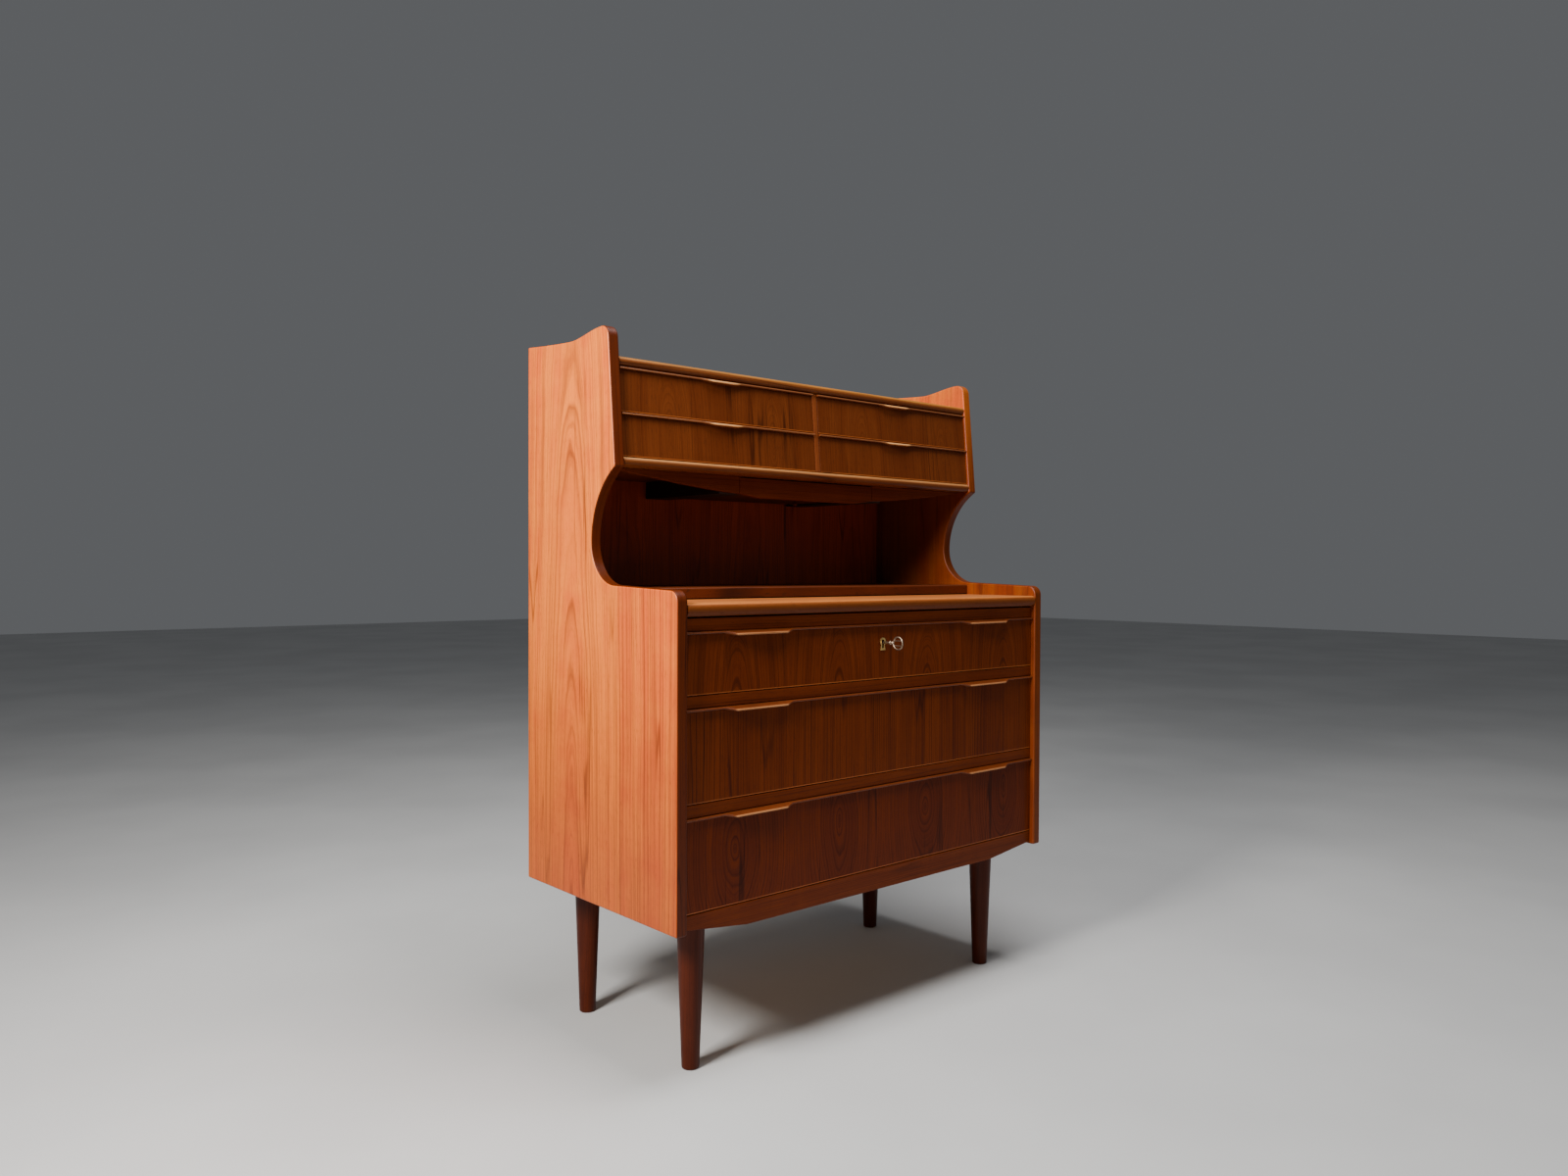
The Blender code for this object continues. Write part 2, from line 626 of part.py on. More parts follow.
def make_lock(brass, steel, top_z):
    case_top = top_z - LOCK_LOWER
    case = block("lock_case", (-LOCK_HALF, LOCK_HALF), LOCK_Y, (LOCK_LOW_Z, case_top))
    lock = add_piece("lock_case", case, steel, "drawer_top")
    track_y = (BOLT_Y[0] - GAP, BOLT_Y[1] + GAP)
    ward = turned_y("ward", [(WARD_RADIUS, y) for y in track_y], (0.0, KEY_Z), 20)
    combine(lock, ward, "DIFFERENCE", "drawer_top")
    track_x = (-BOLT_HALF - GAP, BOLT_HALF + GAP)
    track = block("track", track_x, track_y, (KEY_Z, case_top + OVERCUT))
    combine(lock, track, "DIFFERENCE", "drawer_top")
    cut_keyhole(lock, LOCK_KEYHOLE, LOCK_Y[0] - OVERCUT, BOLT_Y[0])

    bolt = block("lock_bolt", (-BOLT_HALF, BOLT_HALF), BOLT_Y, (BOLT_LOW_Z, BOLT_TOP_Z))
    add_piece("lock_bolt", bolt, brass, "lock_bolt")

    plate_y = (RECESS - GAP - ESCUTCHEON_THICK, RECESS - GAP)
    outline = keyhole_outline(
        ESCUTCHEON_RADIUS, ESCUTCHEON_NECK_HALF, ESCUTCHEON_LOW_Z, ESCUTCHEON_Z, ESCUTCHEON_FOOT_HALF
    )
    plate = add_piece("escutcheon", extrude_y("escutcheon", outline, *plate_y), brass, "drawer_top")
    cut_keyhole(plate, FRONT_KEYHOLE, plate_y[0] - OVERCUT, plate_y[1] + OVERCUT)


def make_key(steel):
    """The key stands in the lock with its bit down and its bow upright."""
    centre = (0.0, KEY_Z)
    tip_y = BOLT_Y[1] - TIP_CLEAR
    bow_end = BOW_Y + BOW_RADIUS
    profile = [
        (KEY_SHAFT_RADIUS, bow_end),
        (COLLAR_RADIUS, bow_end + COLLAR_Y[0]),
        (COLLAR_RADIUS, bow_end + COLLAR_Y[1]),
        (KEY_SHAFT_RADIUS, bow_end + COLLAR_Y[2]),
        (KEY_SHAFT_RADIUS, tip_y),
    ]
    key = add_piece("key", smooth(turned_y("key", profile, centre)), steel, "key")
    bow = ring("bow", (0.0, BOW_Y, KEY_Z), BOW_RADIUS, BOW_WIRE)
    combine(key, bow, "UNION", "key")
    bar_half_x, bar_half_z = BOW_BAR_HALF
    for z in (KEY_Z - BOW_BAR_Z, KEY_Z + BOW_BAR_Z):
        bar_y = (BOW_Y - BOW_RADIUS, BOW_Y + BOW_RADIUS)
        bar = block("bar", (-bar_half_x, bar_half_x), bar_y, (z - bar_half_z, z + bar_half_z))
        combine(key, bar, "UNION", "key")
    bit_y = (BOLT_Y[0] + BIT_CLEAR, tip_y - TIP_CLEAR)
    bit = block("bit", (-BIT_HALF, BIT_HALF), bit_y, (KEY_Z - BIT_LONG, KEY_Z))
    combine(key, bit, "UNION", "key")


# ---------------------------------------------------------------- niche, bank and tray
def make_writing_leaf(teak, edge):
    x = (-HALF_INSIDE + FRONT_CLEAR, HALF_INSIDE - FRONT_CLEAR)
    low, high = LEAF_Z
    nose = arc((LEAF_NOSE, high - LEAF_NOSE), LEAF_NOSE, 180, 90, 4)
    outline = [(LEAF_JOINT_Y, low), (LEAF_NOSE, low), (0.0, low + LEAF_UNDERCUT)]
    outline += nose + [(LEAF_JOINT_Y, high)]
    mesh = smooth(extrude_x("leaf_lip", outline, *x))
    add_piece("leaf_lip", mesh, edge, "writing_leaf")
    mesh = block("leaf_panel", x, (LEAF_JOINT_Y + GAP, LEAF_BACK_Y), LEAF_Z)
    add_piece("leaf_panel", mesh, teak, "writing_leaf")


def make_niche_and_bank(teak, edge, ply):
    low, high = NICHE_FLOOR_Z
    outline = arc((NICHE_FLOOR_Y + NICHE_EDGE, high - NICHE_EDGE), NICHE_EDGE, 180, 90, 3)
    outline += [(BOARD_BACK_Y, high), (BOARD_BACK_Y, low), (NICHE_FLOOR_Y, low)]
    mesh = smooth(extrude_x("niche_floor", outline, -BOARD_END, BOARD_END))
    add_piece("niche_floor", mesh, teak, "carcass")

    nosed_board("bank_floor", BANK_FLOOR_Z, bank_front(BANK_FLOOR_Z[0]) + NOSE_RECESS, edge)
    nosed_board("bank_top", BANK_TOP_Z, bank_front(BANK_TOP_Z[0]) + NOSE_RECESS, edge)

    divider_z = (BANK_FLOOR_Z[1] + GAP, BANK_TOP_Z[0] - GAP)
    outline = [
        (bank_front(divider_z[0]) + BANK_RECESS, divider_z[0]),
        (BOARD_BACK_Y, divider_z[0]),
        (BOARD_BACK_Y, divider_z[1]),
        (bank_front(divider_z[1]) + BANK_RECESS, divider_z[1]),
    ]
    mesh = extrude_x("bank_divider", outline, -DIVIDER_HALF, DIVIDER_HALF)
    add_piece("bank_divider", mesh, edge, "carcass")

    shelf_front = bank_front(SHELF_Z[1]) + BANK_RECESS + SMALL_FRONT_THICK + SHELF_SETBACK
    shelf_y = (shelf_front, BOARD_BACK_Y)
    inner = DIVIDER_HALF + GAP
    for side, x in (("left", (-BOARD_END, -inner)), ("right", (inner, BOARD_END))):
        name = "bank_shelf_" + side
        add_piece(name, block(name, x, shelf_y, SHELF_Z), ply, "carcass")


def apron_rise(share):
    """Height of the side aprons' lower edge, from the tray (0) to the case side (1)."""
    end_z = BANK_FLOOR_Z[0] - APRON_LEAST
    return TRAY_EDGE_Z + (end_z - TRAY_EDGE_Z) * share**CURVE_POWER


def make_tray(teak, dark, box_wood):
    """The shallow tray under the bank, between two tapering aprons, on two dark runners."""
    top = BANK_FLOOR_Z[0] - GAP
    inner = TRAY_HALF + TRAY_CLEAR
    for side, sign in (("left", -1), ("right", 1)):
        outline = [(sign * inner, top)]
        for i in range(9):
            share = i / 8
            outline.append((sign * (inner + (BOARD_END - inner) * share), apron_rise(share)))
        outline.append((sign * BOARD_END, top))
        name = "bank_apron_" + side
        add_piece(name, extrude_y(name, outline, TRAY_Y, TRAY_Y + TRAY_FRONT_THICK), teak, "carcass")

        web_in, web_out = TRAY_WEB_X
        profile = [
            (sign * TRAY_LEDGE_X, TRAY_LEDGE_Z[0]),
            (sign * web_out, TRAY_LEDGE_Z[0]),
            (sign * web_out, top),
            (sign * web_in, top),
            (sign * web_in, TRAY_LEDGE_Z[1]),
            (sign * TRAY_LEDGE_X, TRAY_LEDGE_Z[1]),
        ]
        name = "tray_runner_" + side
        runner_y = (TRAY_Y + TRAY_FRONT_THICK + GAP, BOARD_BACK_Y)
        add_piece(name, extrude_y(name, profile, *runner_y), dark, "carcass")

    outline = [
        (-TRAY_HALF, TRAY_TOP_Z),
        (-TRAY_HALF, TRAY_EDGE_Z),
        (-TRAY_FLAT_HALF, TRAY_LOW_Z),
        (TRAY_FLAT_HALF, TRAY_LOW_Z),
        (TRAY_HALF, TRAY_EDGE_Z),
        (TRAY_HALF, TRAY_TOP_Z),
    ]
    mesh = extrude_y("tray_front", outline, TRAY_Y, TRAY_Y + TRAY_FRONT_THICK)
    add_piece("tray_front", mesh, teak, "tray")

    box_x = (-TRAY_HALF + FRONT_CLEAR, TRAY_HALF - FRONT_CLEAR)
    box_y = (TRAY_Y + TRAY_FRONT_THICK + GAP, BOX_BACK_Y)
    mesh = block("tray_box", box_x, box_y, (TRAY_FLOOR_Z, TRAY_TOP_Z - OVERCUT))
    box = add_piece("tray_box", mesh, box_wood, "tray")
    inside_x = (box_x[0] + TRAY_WALL, box_x[1] - TRAY_WALL)
    inside_y = (box_y[0] - OVERCUT, box_y[1] - TRAY_WALL)
    hollow = block("hollow", inside_x, inside_y, (TRAY_FLOOR_Z + TRAY_FLOOR_THICK, TRAY_TOP_Z))
    combine(box, hollow, "DIFFERENCE", "tray")

    knob_profile = [
        (0.0020, 0.9110),
        (0.0042, 0.9122),
        (0.0046, 0.9145),
        (0.0038, 0.9172),
        (0.0024, 0.9192),
        (0.0024, TRAY_FLOOR_Z - GAP),
    ]
    knob = smooth(turned("tray_knob", knob_profile, (0.0, KNOB_Y), 16))
    add_piece("tray_knob", knob, teak, "tray")


# ---------------------------------------------------------------- build
def build():
    clear_scene()
    make_bodies()
    side_teak = make_material("side_teak", (0.60, 0.22, 0.08), 0.42)
    front_teak = make_material("front_teak", (0.23, 0.06, 0.02), 0.38)
    edge_teak = make_material("edge_teak", (0.34, 0.13, 0.05), 0.40)
    leg_teak = make_material("leg_teak", (0.26, 0.08, 0.04), 0.42)
    box_wood = make_material("box_wood", (0.55, 0.33, 0.16), 0.60)
    ply = make_material("ply", (0.50, 0.30, 0.16), 0.65)
    dark = make_material("dark_stain", (0.02, 0.012, 0.01), 0.60)
    brass = make_material("brass", (0.78, 0.57, 0.28), 0.28, 1.0)
    steel = make_material("steel", (0.62, 0.60, 0.57), 0.30, 1.0)

    make_sides(side_teak)
    make_lower_case(side_teak, edge_teak, ply, box_wood, steel)
    make_legs(leg_teak)
    make_wide_drawers(front_teak, box_wood, ply)
    make_small_drawers(front_teak, box_wood, ply)
    make_lock(brass, steel, DRAWERS_Z["drawer_top"][1])
    make_key(steel)
    make_writing_leaf(side_teak, edge_teak)
    make_niche_and_bank(side_teak, edge_teak, ply)
    make_tray(front_teak, dark, box_wood)


build()
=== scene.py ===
import math
from typing import NamedTuple

import bmesh
import bpy
from mathutils import Matrix, Vector


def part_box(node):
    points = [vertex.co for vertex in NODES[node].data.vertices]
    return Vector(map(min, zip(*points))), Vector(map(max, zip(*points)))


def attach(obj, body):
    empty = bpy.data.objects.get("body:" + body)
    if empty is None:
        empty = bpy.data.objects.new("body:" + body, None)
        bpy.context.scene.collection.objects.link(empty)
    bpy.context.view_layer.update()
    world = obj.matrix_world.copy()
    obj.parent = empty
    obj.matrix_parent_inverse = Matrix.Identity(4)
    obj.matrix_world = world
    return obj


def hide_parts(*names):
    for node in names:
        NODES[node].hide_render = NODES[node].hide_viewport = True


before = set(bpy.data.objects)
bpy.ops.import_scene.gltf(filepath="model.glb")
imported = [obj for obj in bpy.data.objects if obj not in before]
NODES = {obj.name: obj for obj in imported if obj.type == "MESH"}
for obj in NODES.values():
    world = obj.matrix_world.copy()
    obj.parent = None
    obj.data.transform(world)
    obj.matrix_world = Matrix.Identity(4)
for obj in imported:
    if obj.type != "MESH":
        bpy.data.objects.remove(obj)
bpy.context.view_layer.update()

# ---------------------------------------------------------------- sizes, in metres
CASE_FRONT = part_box("side_left")[0].y  # front edge of the lower case
CASE_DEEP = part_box("side_left")[1].y - CASE_FRONT
TINY = 0.0002  # gap between pieces that touch

# Outline of the sides, as (depth behind the case's front, height)
SIDE_LOW_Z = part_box("side_left")[0].z
SHOULDER_Z, SHOULDER_R = 0.760, 0.018
SCOOP_Z, SCOOP_R, SCOOP_DEEP = 0.765, 0.070, 0.237
BANK_CORNER = (0.168, 0.954)
BANK_LEAN = 0.0905
HORN_Z, HORN_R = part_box("side_left")[1].z, 0.020
DIP = (0.302, 1.170)
DIP_HOLLOW = 1.3  # 1 for a straight rise from the dip to the back, more for a hollow one
BACK_TOP_Z = 1.180
SIDE_ROUND = 0.0032

# The leaf's lip: a round nose above, and a smaller round at its foot, which is set back a little
LEAF_NOSE_R, LEAF_FOOT_R, LEAF_FOOT_BACK = 0.0075, 0.0032, 0.0062
LEAF_BEND_Z = 0.0095  # height of the bend where the lip's front turns in towards its foot
LEAF_SLOPE_IN, LEAF_SLOPE_Z = 0.0012, 0.0050  # how far in, and how high, that slope ends
LEAF_HIGHLIGHT_HIGH = 0.0035  # height of the lip's upper edge that is painted pale, a painted highlight

# Legs: their radius at the foot, and the tenon that goes up into the bottom panel
LEG_SLIM_R, LEG_TENON_R, LEG_TENON_HIGH = 0.0143, 0.008, 0.0135
# The foot's round, as (how much slimmer than the leg, height)
LEG_FOOT = ((0.0030, 0.0), (0.0012, 0.0004), (0.0002, 0.0016), (0.0, 0.0030))

# Drawer fronts and their lips
FRONT_THICK, SMALL_FRONT_THICK = 0.018, 0.014
FRONT_ROUND = 0.0007
FOOT_LINE = 0.0018  # height of the pale line along a front's lower edge
LIP_THICK, LIP_PROUD = 0.0042, 0.005
LIP_SLIM = 0.0004  # how much slimmer than the lip its round nose is, on each side
LIP_FLAT = 0.2  # how much of the lip's overhang is flat on top
LIP_STEP = 0.0006  # width of the step where a pull's underside meets the front
PULL_HOLLOW = 0.0011  # how far a pull is hollowed underneath


class Wing(NamedTuple):
    """A pull, where a lip swells out."""

    half: float  # half its straight edge
    ramp: float  # length of the ramp on each side of it
    proud: float  # how far it stands out beyond the lip
    drop: float  # how much lower its nose lies than the lip's
    root: float  # how much lower its underside meets the front
    steep: float  # 3 for ramps that end smoothly, less for ramps that end at a corner
    plain: float  # how pale the lip's nose is beside it: painted highlight
    highlight_focus: float  # how closely the pull's paleness keeps to its nose: painted highlight, with real wear


WIDE_WING = Wing(
    half=0.051, ramp=0.022, proud=0.007, drop=0.0036, root=0.0044, steep=2.3, plain=0.12, highlight_focus=5.0,
)
SMALL_WING = Wing(
    half=0.018, ramp=0.032, proud=0.005, drop=0.0018, root=0.0026, steep=3.0, plain=0.26, highlight_focus=1.1,
)
WIDE_PULLS_X = (-0.283, 0.283)

# Lock and key
KEY_Z = 0.6645
FRONT_FACE = CASE_FRONT + 0.010
HOLE_Z = KEY_Z + 0.0015  # middle of the keyhole's round
# Radius of the keyhole's round, half width of its slot, foot of the slot, middle of the round
FRONT_KEYHOLE = (0.0038, 0.0022, KEY_Z - 0.0098, HOLE_Z)
# The escutcheon's round, half its waist, half its foot, and the slope of its front
PLATE_R, PLATE_HALF, PLATE_FOOT_HALF, PLATE_BEVEL = 0.0070, 0.0041, 0.0059, 0.0004
# How far the cutters reach past the lock's case, and past both ends of the keyhole
CASE_CUT_BACK, CASE_CUT_UP = 0.003, 0.010
HOLE_CUT_OUT, HOLE_CUT_IN = 0.004, 0.002
BOW_R, BOW_WIRE_R = 0.0105, 0.0016
BOW_SLIM = 0.85  # the bow's wire is a little slimmer across than it is deep
BAR_OFF, BAR_END_R, BAR_MIDDLE_R = 0.0042, 0.0011, 0.0009  # two bars cross the bow, off its middle
SHAFT_R, SHAFT_TIP_R, SHAFT_TIP = 0.0020, 0.0014, 0.0006
SHAFT_IN_BOW = 0.0006  # how far the shaft reaches into the bow's wire
# (radius, distance from the bow): the shaft's root, a bead, a neck and a collar
SHAFT_TURNINGS = (
    (0.0012, 0.0), (0.0026, 0.0010), (0.0029, 0.0022), (SHAFT_R, 0.0034), (SHAFT_R, 0.0058),
    (0.0031, 0.0066), (0.0034, 0.0078), (0.0031, 0.0090), (SHAFT_R, 0.0098),
)
BIT_HALF, BIT_ROUND = 0.0009, 0.0002
BIT_FROM_TIP = (0.0042, 0.0004)  # from where to where, measured back from the shaft's tip
BIT_BELOW = (0.0085, 0.0010)  # and measured down from the shaft's middle

# The tray's knob, as (radius, height above its foot)
KNOB_TURNINGS = (
    (0.0012, 0.0), (0.0030, 0.0004), (0.0043, 0.0016), (0.0046, 0.0034),
    (0.0042, 0.0052), (0.0031, 0.0068), (0.0024, 0.0082),
)

# CAD nodes: vertices closer than this are made one. Faces that turn less than the first angle become
# one face, and edges that turn more than the second are softened.
WELD_NEAR = 0.00002
FLAT_BELOW, EDGE_ABOVE = math.radians(1.0), math.radians(35.0)
# Softened edges of the CAD nodes, as (width, segments of the round)
METAL_EDGE = (0.0002, 1)
PANEL_EDGE = (0.0003, 1)
BOARD_EDGE = (0.0004, 1)
TRAY_EDGE = (0.0005, 1)
BOX_EDGE = (0.0006, 1)
SHELF_EDGE = (0.0006, 2)
RAIL_EDGE = (0.0008, 2)
TRAY_FRONT_EDGE = (0.0010, 3)
DIVIDER_EDGE = (0.0012, 3)

WIDE_DRAWERS = ("drawer_top", "drawer_middle", "drawer_bottom")
SMALL_DRAWERS = tuple(
    f"small_drawer_{row}_{side}" for row in ("upper", "lower") for side in ("left", "right")
)


# ---------------------------------------------------------------- node helpers
class Graph:
    """A short way to write shader nodes: each method adds a node and returns its output socket."""

    def __init__(self, tree):
        self.tree = tree

    def add(self, kind, inputs=None, out=0, **settings):
        node = self.tree.nodes.new(kind)
        for name, value in settings.items():
            setattr(node, name, value)
        for name, value in (inputs or {}).items():
            if isinstance(value, bpy.types.NodeSocket):
                self.tree.links.new(value, node.inputs[name])
            else:
                node.inputs[name].default_value = value
        return node.outputs[out]

    def math(self, operation, *values):
        return self.add("ShaderNodeMath", dict(enumerate(values)), operation=operation)

    def vector(self, x=0.0, y=0.0, z=0.0):
        return self.add("ShaderNodeCombineXYZ", {"X": x, "Y": y, "Z": z})

    def noise(self, vector, scale=1.0, detail=2.0, roughness=0.5):
        inputs = {"Vector": vector, "Scale": scale, "Detail": detail, "Roughness": roughness}
        return self.add("ShaderNodeTexNoise", inputs)

    def streak(self, across, along, seed, across_scale, along_scale):
        """Noise drawn out along the grain, 0 to 1."""
        at = self.vector(
            self.math("MULTIPLY", across, across_scale), self.math("MULTIPLY", along, along_scale), seed
        )
        return self.noise(at)

    def wave(self, *values):
        """Noise drawn out along the grain, about zero."""
        return self.math("SUBTRACT", self.streak(*values), 0.5)

    def fine(self, across, along, depth, across_scale, along_scale, detail):
        """Fine noise that runs through the wood's whole thickness."""
        at = self.vector(
            self.math("MULTIPLY", across, across_scale),
            self.math("MULTIPLY", along, along_scale),
            self.math("MULTIPLY", depth, across_scale),
        )
        return self.noise(at, detail=detail, roughness=0.6)

    def span(self, value, low, high, to_low=0.0, to_high=1.0):
        """Maps low to high onto to_low to to_high, held at both ends."""
        inputs = {"Value": value, "From Min": low, "From Max": high, "To Min": to_low, "To Max": to_high}
        return self.add("ShaderNodeMapRange", inputs, interpolation_type="SMOOTHSTEP")

    def mix(self, share, first, second, blend="MIX"):
        """Mixes two colours."""
        node = self.tree.nodes.new("ShaderNodeMix")
        node.data_type = "RGBA"
        node.blend_type = blend
        for index, value in ((0, share), (6, first), (7, second)):
            if isinstance(value, bpy.types.NodeSocket):
                self.tree.links.new(value, node.inputs[index])
            else:
                node.inputs[index].default_value = value if index == 0 else (*value, 1.0)
        return node.outputs[2]


def new_material(name):
    material = bpy.data.materials.new(name)
    material.use_nodes = True
    tree = material.node_tree
    tree.nodes.clear()
    shader = tree.nodes.new("ShaderNodeBsdfPrincipled")
    output = tree.nodes.new("ShaderNodeOutputMaterial")
    tree.links.new(shader.outputs[0], output.inputs[0])
    return material, Graph(tree), shader


# ---------------------------------------------------------------- wood
FIGURE_INPUTS = (
    ("Across", 0.0),
    ("Along", 0.0),
    ("Depth", 0.0),
    ("Centre", 0.0),  # where across the middle of a veneer leaf lies
    ("Leaf", 0.2),  # width of a veneer leaf
    ("Taper", 0.02),  # how fast the cut leaves the log's heart along the grain
    ("Start", 0.012),  # how far from the heart the cut lies
    ("Ring", 0.0032),  # distance between growth rings
    ("Wander", 0.012),  # how far the grain wanders sideways
    ("Swell", 0.016),  # how far the cut's distance from the heart wanders
    ("Seed", 0.0),
)
FIGURE_OUTPUTS = ("Rings", "Bands", "Stripes", "Veins", "Fibres", "Pores", "Shimmer")


def make_figure_group():
    """Teak's figure: a flat cut through a log's growth rings, with stripes, veins, fibres and pores.

    Neighbouring veneer leaves mirror each other, so that the rings meet where the leaves do. The
    last two numbers of every streak and wave are how fast it changes across and along the grain."""
    tree = bpy.data.node_groups.new("teak_figure", "ShaderNodeTree")
    for name, value in FIGURE_INPUTS:
        socket = tree.interface.new_socket(name, in_out="INPUT", socket_type="NodeSocketFloat")
        socket.default_value = value
    for name in FIGURE_OUTPUTS:
        tree.interface.new_socket(name, in_out="OUTPUT", socket_type="NodeSocketFloat")
    g = Graph(tree)
    source = tree.nodes.new("NodeGroupInput").outputs
    across, along, depth, seed = source["Across"], source["Along"], source["Depth"], source["Seed"]

    def reseeded(offset):
        """A seed of its own for each noise."""
        return g.math("ADD", seed, offset)

    wander = g.wave(across, along, seed, 5.0, 1.4)
    ripple = g.wave(across, along, seed, 45.0, 7.0)
    swell = g.wave(across, along, reseeded(9.0), 9.0, 5.0)
    fine_swell = g.wave(across, along, reseeded(4.0), 34.0, 15.0)
    swell = g.math("MULTIPLY_ADD", fine_swell, 0.30, swell)
    place = g.math("MULTIPLY_ADD", wander, source["Wander"], g.math("SUBTRACT", across, source["Centre"]))
    place = g.math("MULTIPLY_ADD", ripple, 0.0016, place)
    leaves = g.math("ADD", g.math("DIVIDE", place, source["Leaf"]), 0.5)
    in_leaf = g.math("SUBTRACT", g.math("FRACT", leaves), 0.5)
    sideways = g.math("ABSOLUTE", g.math("MULTIPLY", in_leaf, source["Leaf"]))
    to_heart = g.math("MULTIPLY_ADD", along, source["Taper"], source["Start"])
    to_heart = g.math("MULTIPLY_ADD", swell, source["Swell"], g.math("ADD", to_heart, depth))
    squared = g.math("MULTIPLY", to_heart, to_heart)
    radius = g.math("SQRT", g.math("MULTIPLY_ADD", sideways, sideways, squared))

    uneven = g.math("MULTIPLY", g.streak(radius, along, seed, 60.0, 0.0), 2.4)
    ring = g.math("FRACT", g.math("ADD", g.math("DIVIDE", radius, source["Ring"]), uneven))
    # A ring is pale, darkens towards its late wood and breaks off where the next one starts. Some
    # rings are stronger than others, and all of them fade where two leaves meet.
    late = g.math("POWER", ring, 4.0)
    fresh = g.span(ring, 0.0, 0.12, 0.7, 0.0)
    strength = g.span(g.streak(radius, along, reseeded(2.0), 130.0, 1.2), 0.35, 0.70, 0.15, 1.0)
    at_joint = g.span(g.math("ABSOLUTE", in_leaf), 0.40, 0.50, 1.0, 0.10)
    strength = g.math("MULTIPLY", strength, at_joint)
    rings = g.math("MULTIPLY", g.math("MAXIMUM", late, fresh), strength)

    bands = g.streak(radius, along, reseeded(3.0), 30.0, 0.8)
    stripes = g.streak(radius, along, reseeded(5.0), 420.0, 2.5)
    # A vein is a thin line where a slow noise crosses its middle.
    wandering = g.math("MULTIPLY_ADD", wander, 0.010, across)
    slow = g.streak(wandering, along, reseeded(6.0), 21.0, 0.9)
    vein = g.span(g.math("ABSOLUTE", g.math("SUBTRACT", slow, 0.5)), 0.0, 0.016, 1.0, 0.0)
    present = g.span(g.streak(across, along, reseeded(7.0), 14.0, 6.0), 0.40, 0.62)
    veins = g.math("MULTIPLY", vein, present)

    fibres = g.fine(across, along, depth, 620.0, 9.0, 3.0)
    pores = g.span(g.fine(across, along, depth, 1500.0, 75.0, 1.0), 0.60, 0.74)
    shimmer = g.streak(across, along, reseeded(8.0), 16.0, 22.0)

    sink = tree.nodes.new("NodeGroupOutput")
    for name, value in zip(FIGURE_OUTPUTS, (rings, bands, stripes, veins, fibres, pores, shimmer)):
        tree.links.new(value, sink.inputs[name])
    return tree


FIGURE = make_figure_group()


def teak(
    name, axes, colours, roughness=0.40, into=0.15, contrast=1.0, veins=0.7, sheen=0.30, highlight_and_wear=None,
    faded=None, **figure,
):
    """Oiled teak. axes names the directions across, along and into the veneer, such as "YZX".

    colours are the light, middle and dark wood and the near black of veins and pores. The pair of pale
    colours, light and dark, goes where the mesh's attribute rises to 1: painted highlight, with real
    wear on the pulls. The pair of heights and a tint is painted shade: the wood keeps the tint below
    them. into is how much the figure changes with depth."""
    material, g, shader = new_material(name)
    place = g.add("ShaderNodeTexCoord", out="Object")
    parts = g.tree.nodes.new("ShaderNodeSeparateXYZ")
    g.tree.links.new(place, parts.inputs[0])
    across, along, inwards = (parts.outputs[axis] for axis in axes)
    group = g.tree.nodes.new("ShaderNodeGroup")
    group.node_tree = FIGURE
    g.tree.links.new(across, group.inputs["Across"])
    g.tree.links.new(along, group.inputs["Along"])
    g.tree.links.new(g.math("MULTIPLY", inwards, into), group.inputs["Depth"])
    for key, value in figure.items():
        group.inputs[key.capitalize()].default_value = value
    rings, bands, stripes, dark_veins, fibres, pores, shimmer = group.outputs

    light, middle, dark, line = colours
    tone = g.math("MULTIPLY_ADD", shimmer, 0.25, g.math("MULTIPLY", bands, 0.75))
    colour = g.mix(g.span(tone, 0.36, 0.64), middle, light)
    colour = g.mix(g.span(stripes, 0.46, 0.78, 0.0, 0.70 * contrast), colour, dark)
    colour = g.mix(g.math("MULTIPLY", rings, 0.80 * contrast), colour, dark)
    colour = g.mix(g.span(fibres, 0.44, 0.74, 0.0, 0.30), colour, dark)
    colour = g.mix(g.math("MULTIPLY", dark_veins, veins), colour, line)
    # Paler colours where the mesh's attribute rises: painted highlight, with real wear on the pulls.
    if highlight_and_wear:
        wear_and_highlight = g.add("ShaderNodeAttribute", out="Fac", attribute_name="wear_and_highlight")
        colour = g.mix(g.span(wear_and_highlight, 0.05, 0.9), colour, g.mix(g.span(fibres, 0.35, 0.75), *highlight_and_wear))
    colour = g.mix(g.math("MULTIPLY", pores, 0.45), colour, line)
    # Painted shade: below the given heights the wood keeps the tint.
    if faded:
        low, high, tint = faded
        colour = g.mix(g.span(parts.outputs["Z"], low, high, 1.0, 0.0), colour, tint, "MULTIPLY")
    g.tree.links.new(colour, shader.inputs["Base Color"])

    rough = g.math("MULTIPLY_ADD", fibres, 0.16, roughness - 0.08)
    rough = g.math("MULTIPLY_ADD", pores, 0.12, rough)
    g.tree.links.new(rough, shader.inputs["Roughness"])
    dents = g.math("MULTIPLY_ADD", rings, 0.25, pores)
    relief = g.math("SUBTRACT", g.math("MULTIPLY", fibres, 0.35), dents)
    bump = g.add("ShaderNodeBump", {"Height": relief, "Strength": 0.22, "Distance": 0.00012})
    g.tree.links.new(bump, shader.inputs["Normal"])
    shader.inputs["Specular IOR Level"].default_value = sheen
    return material


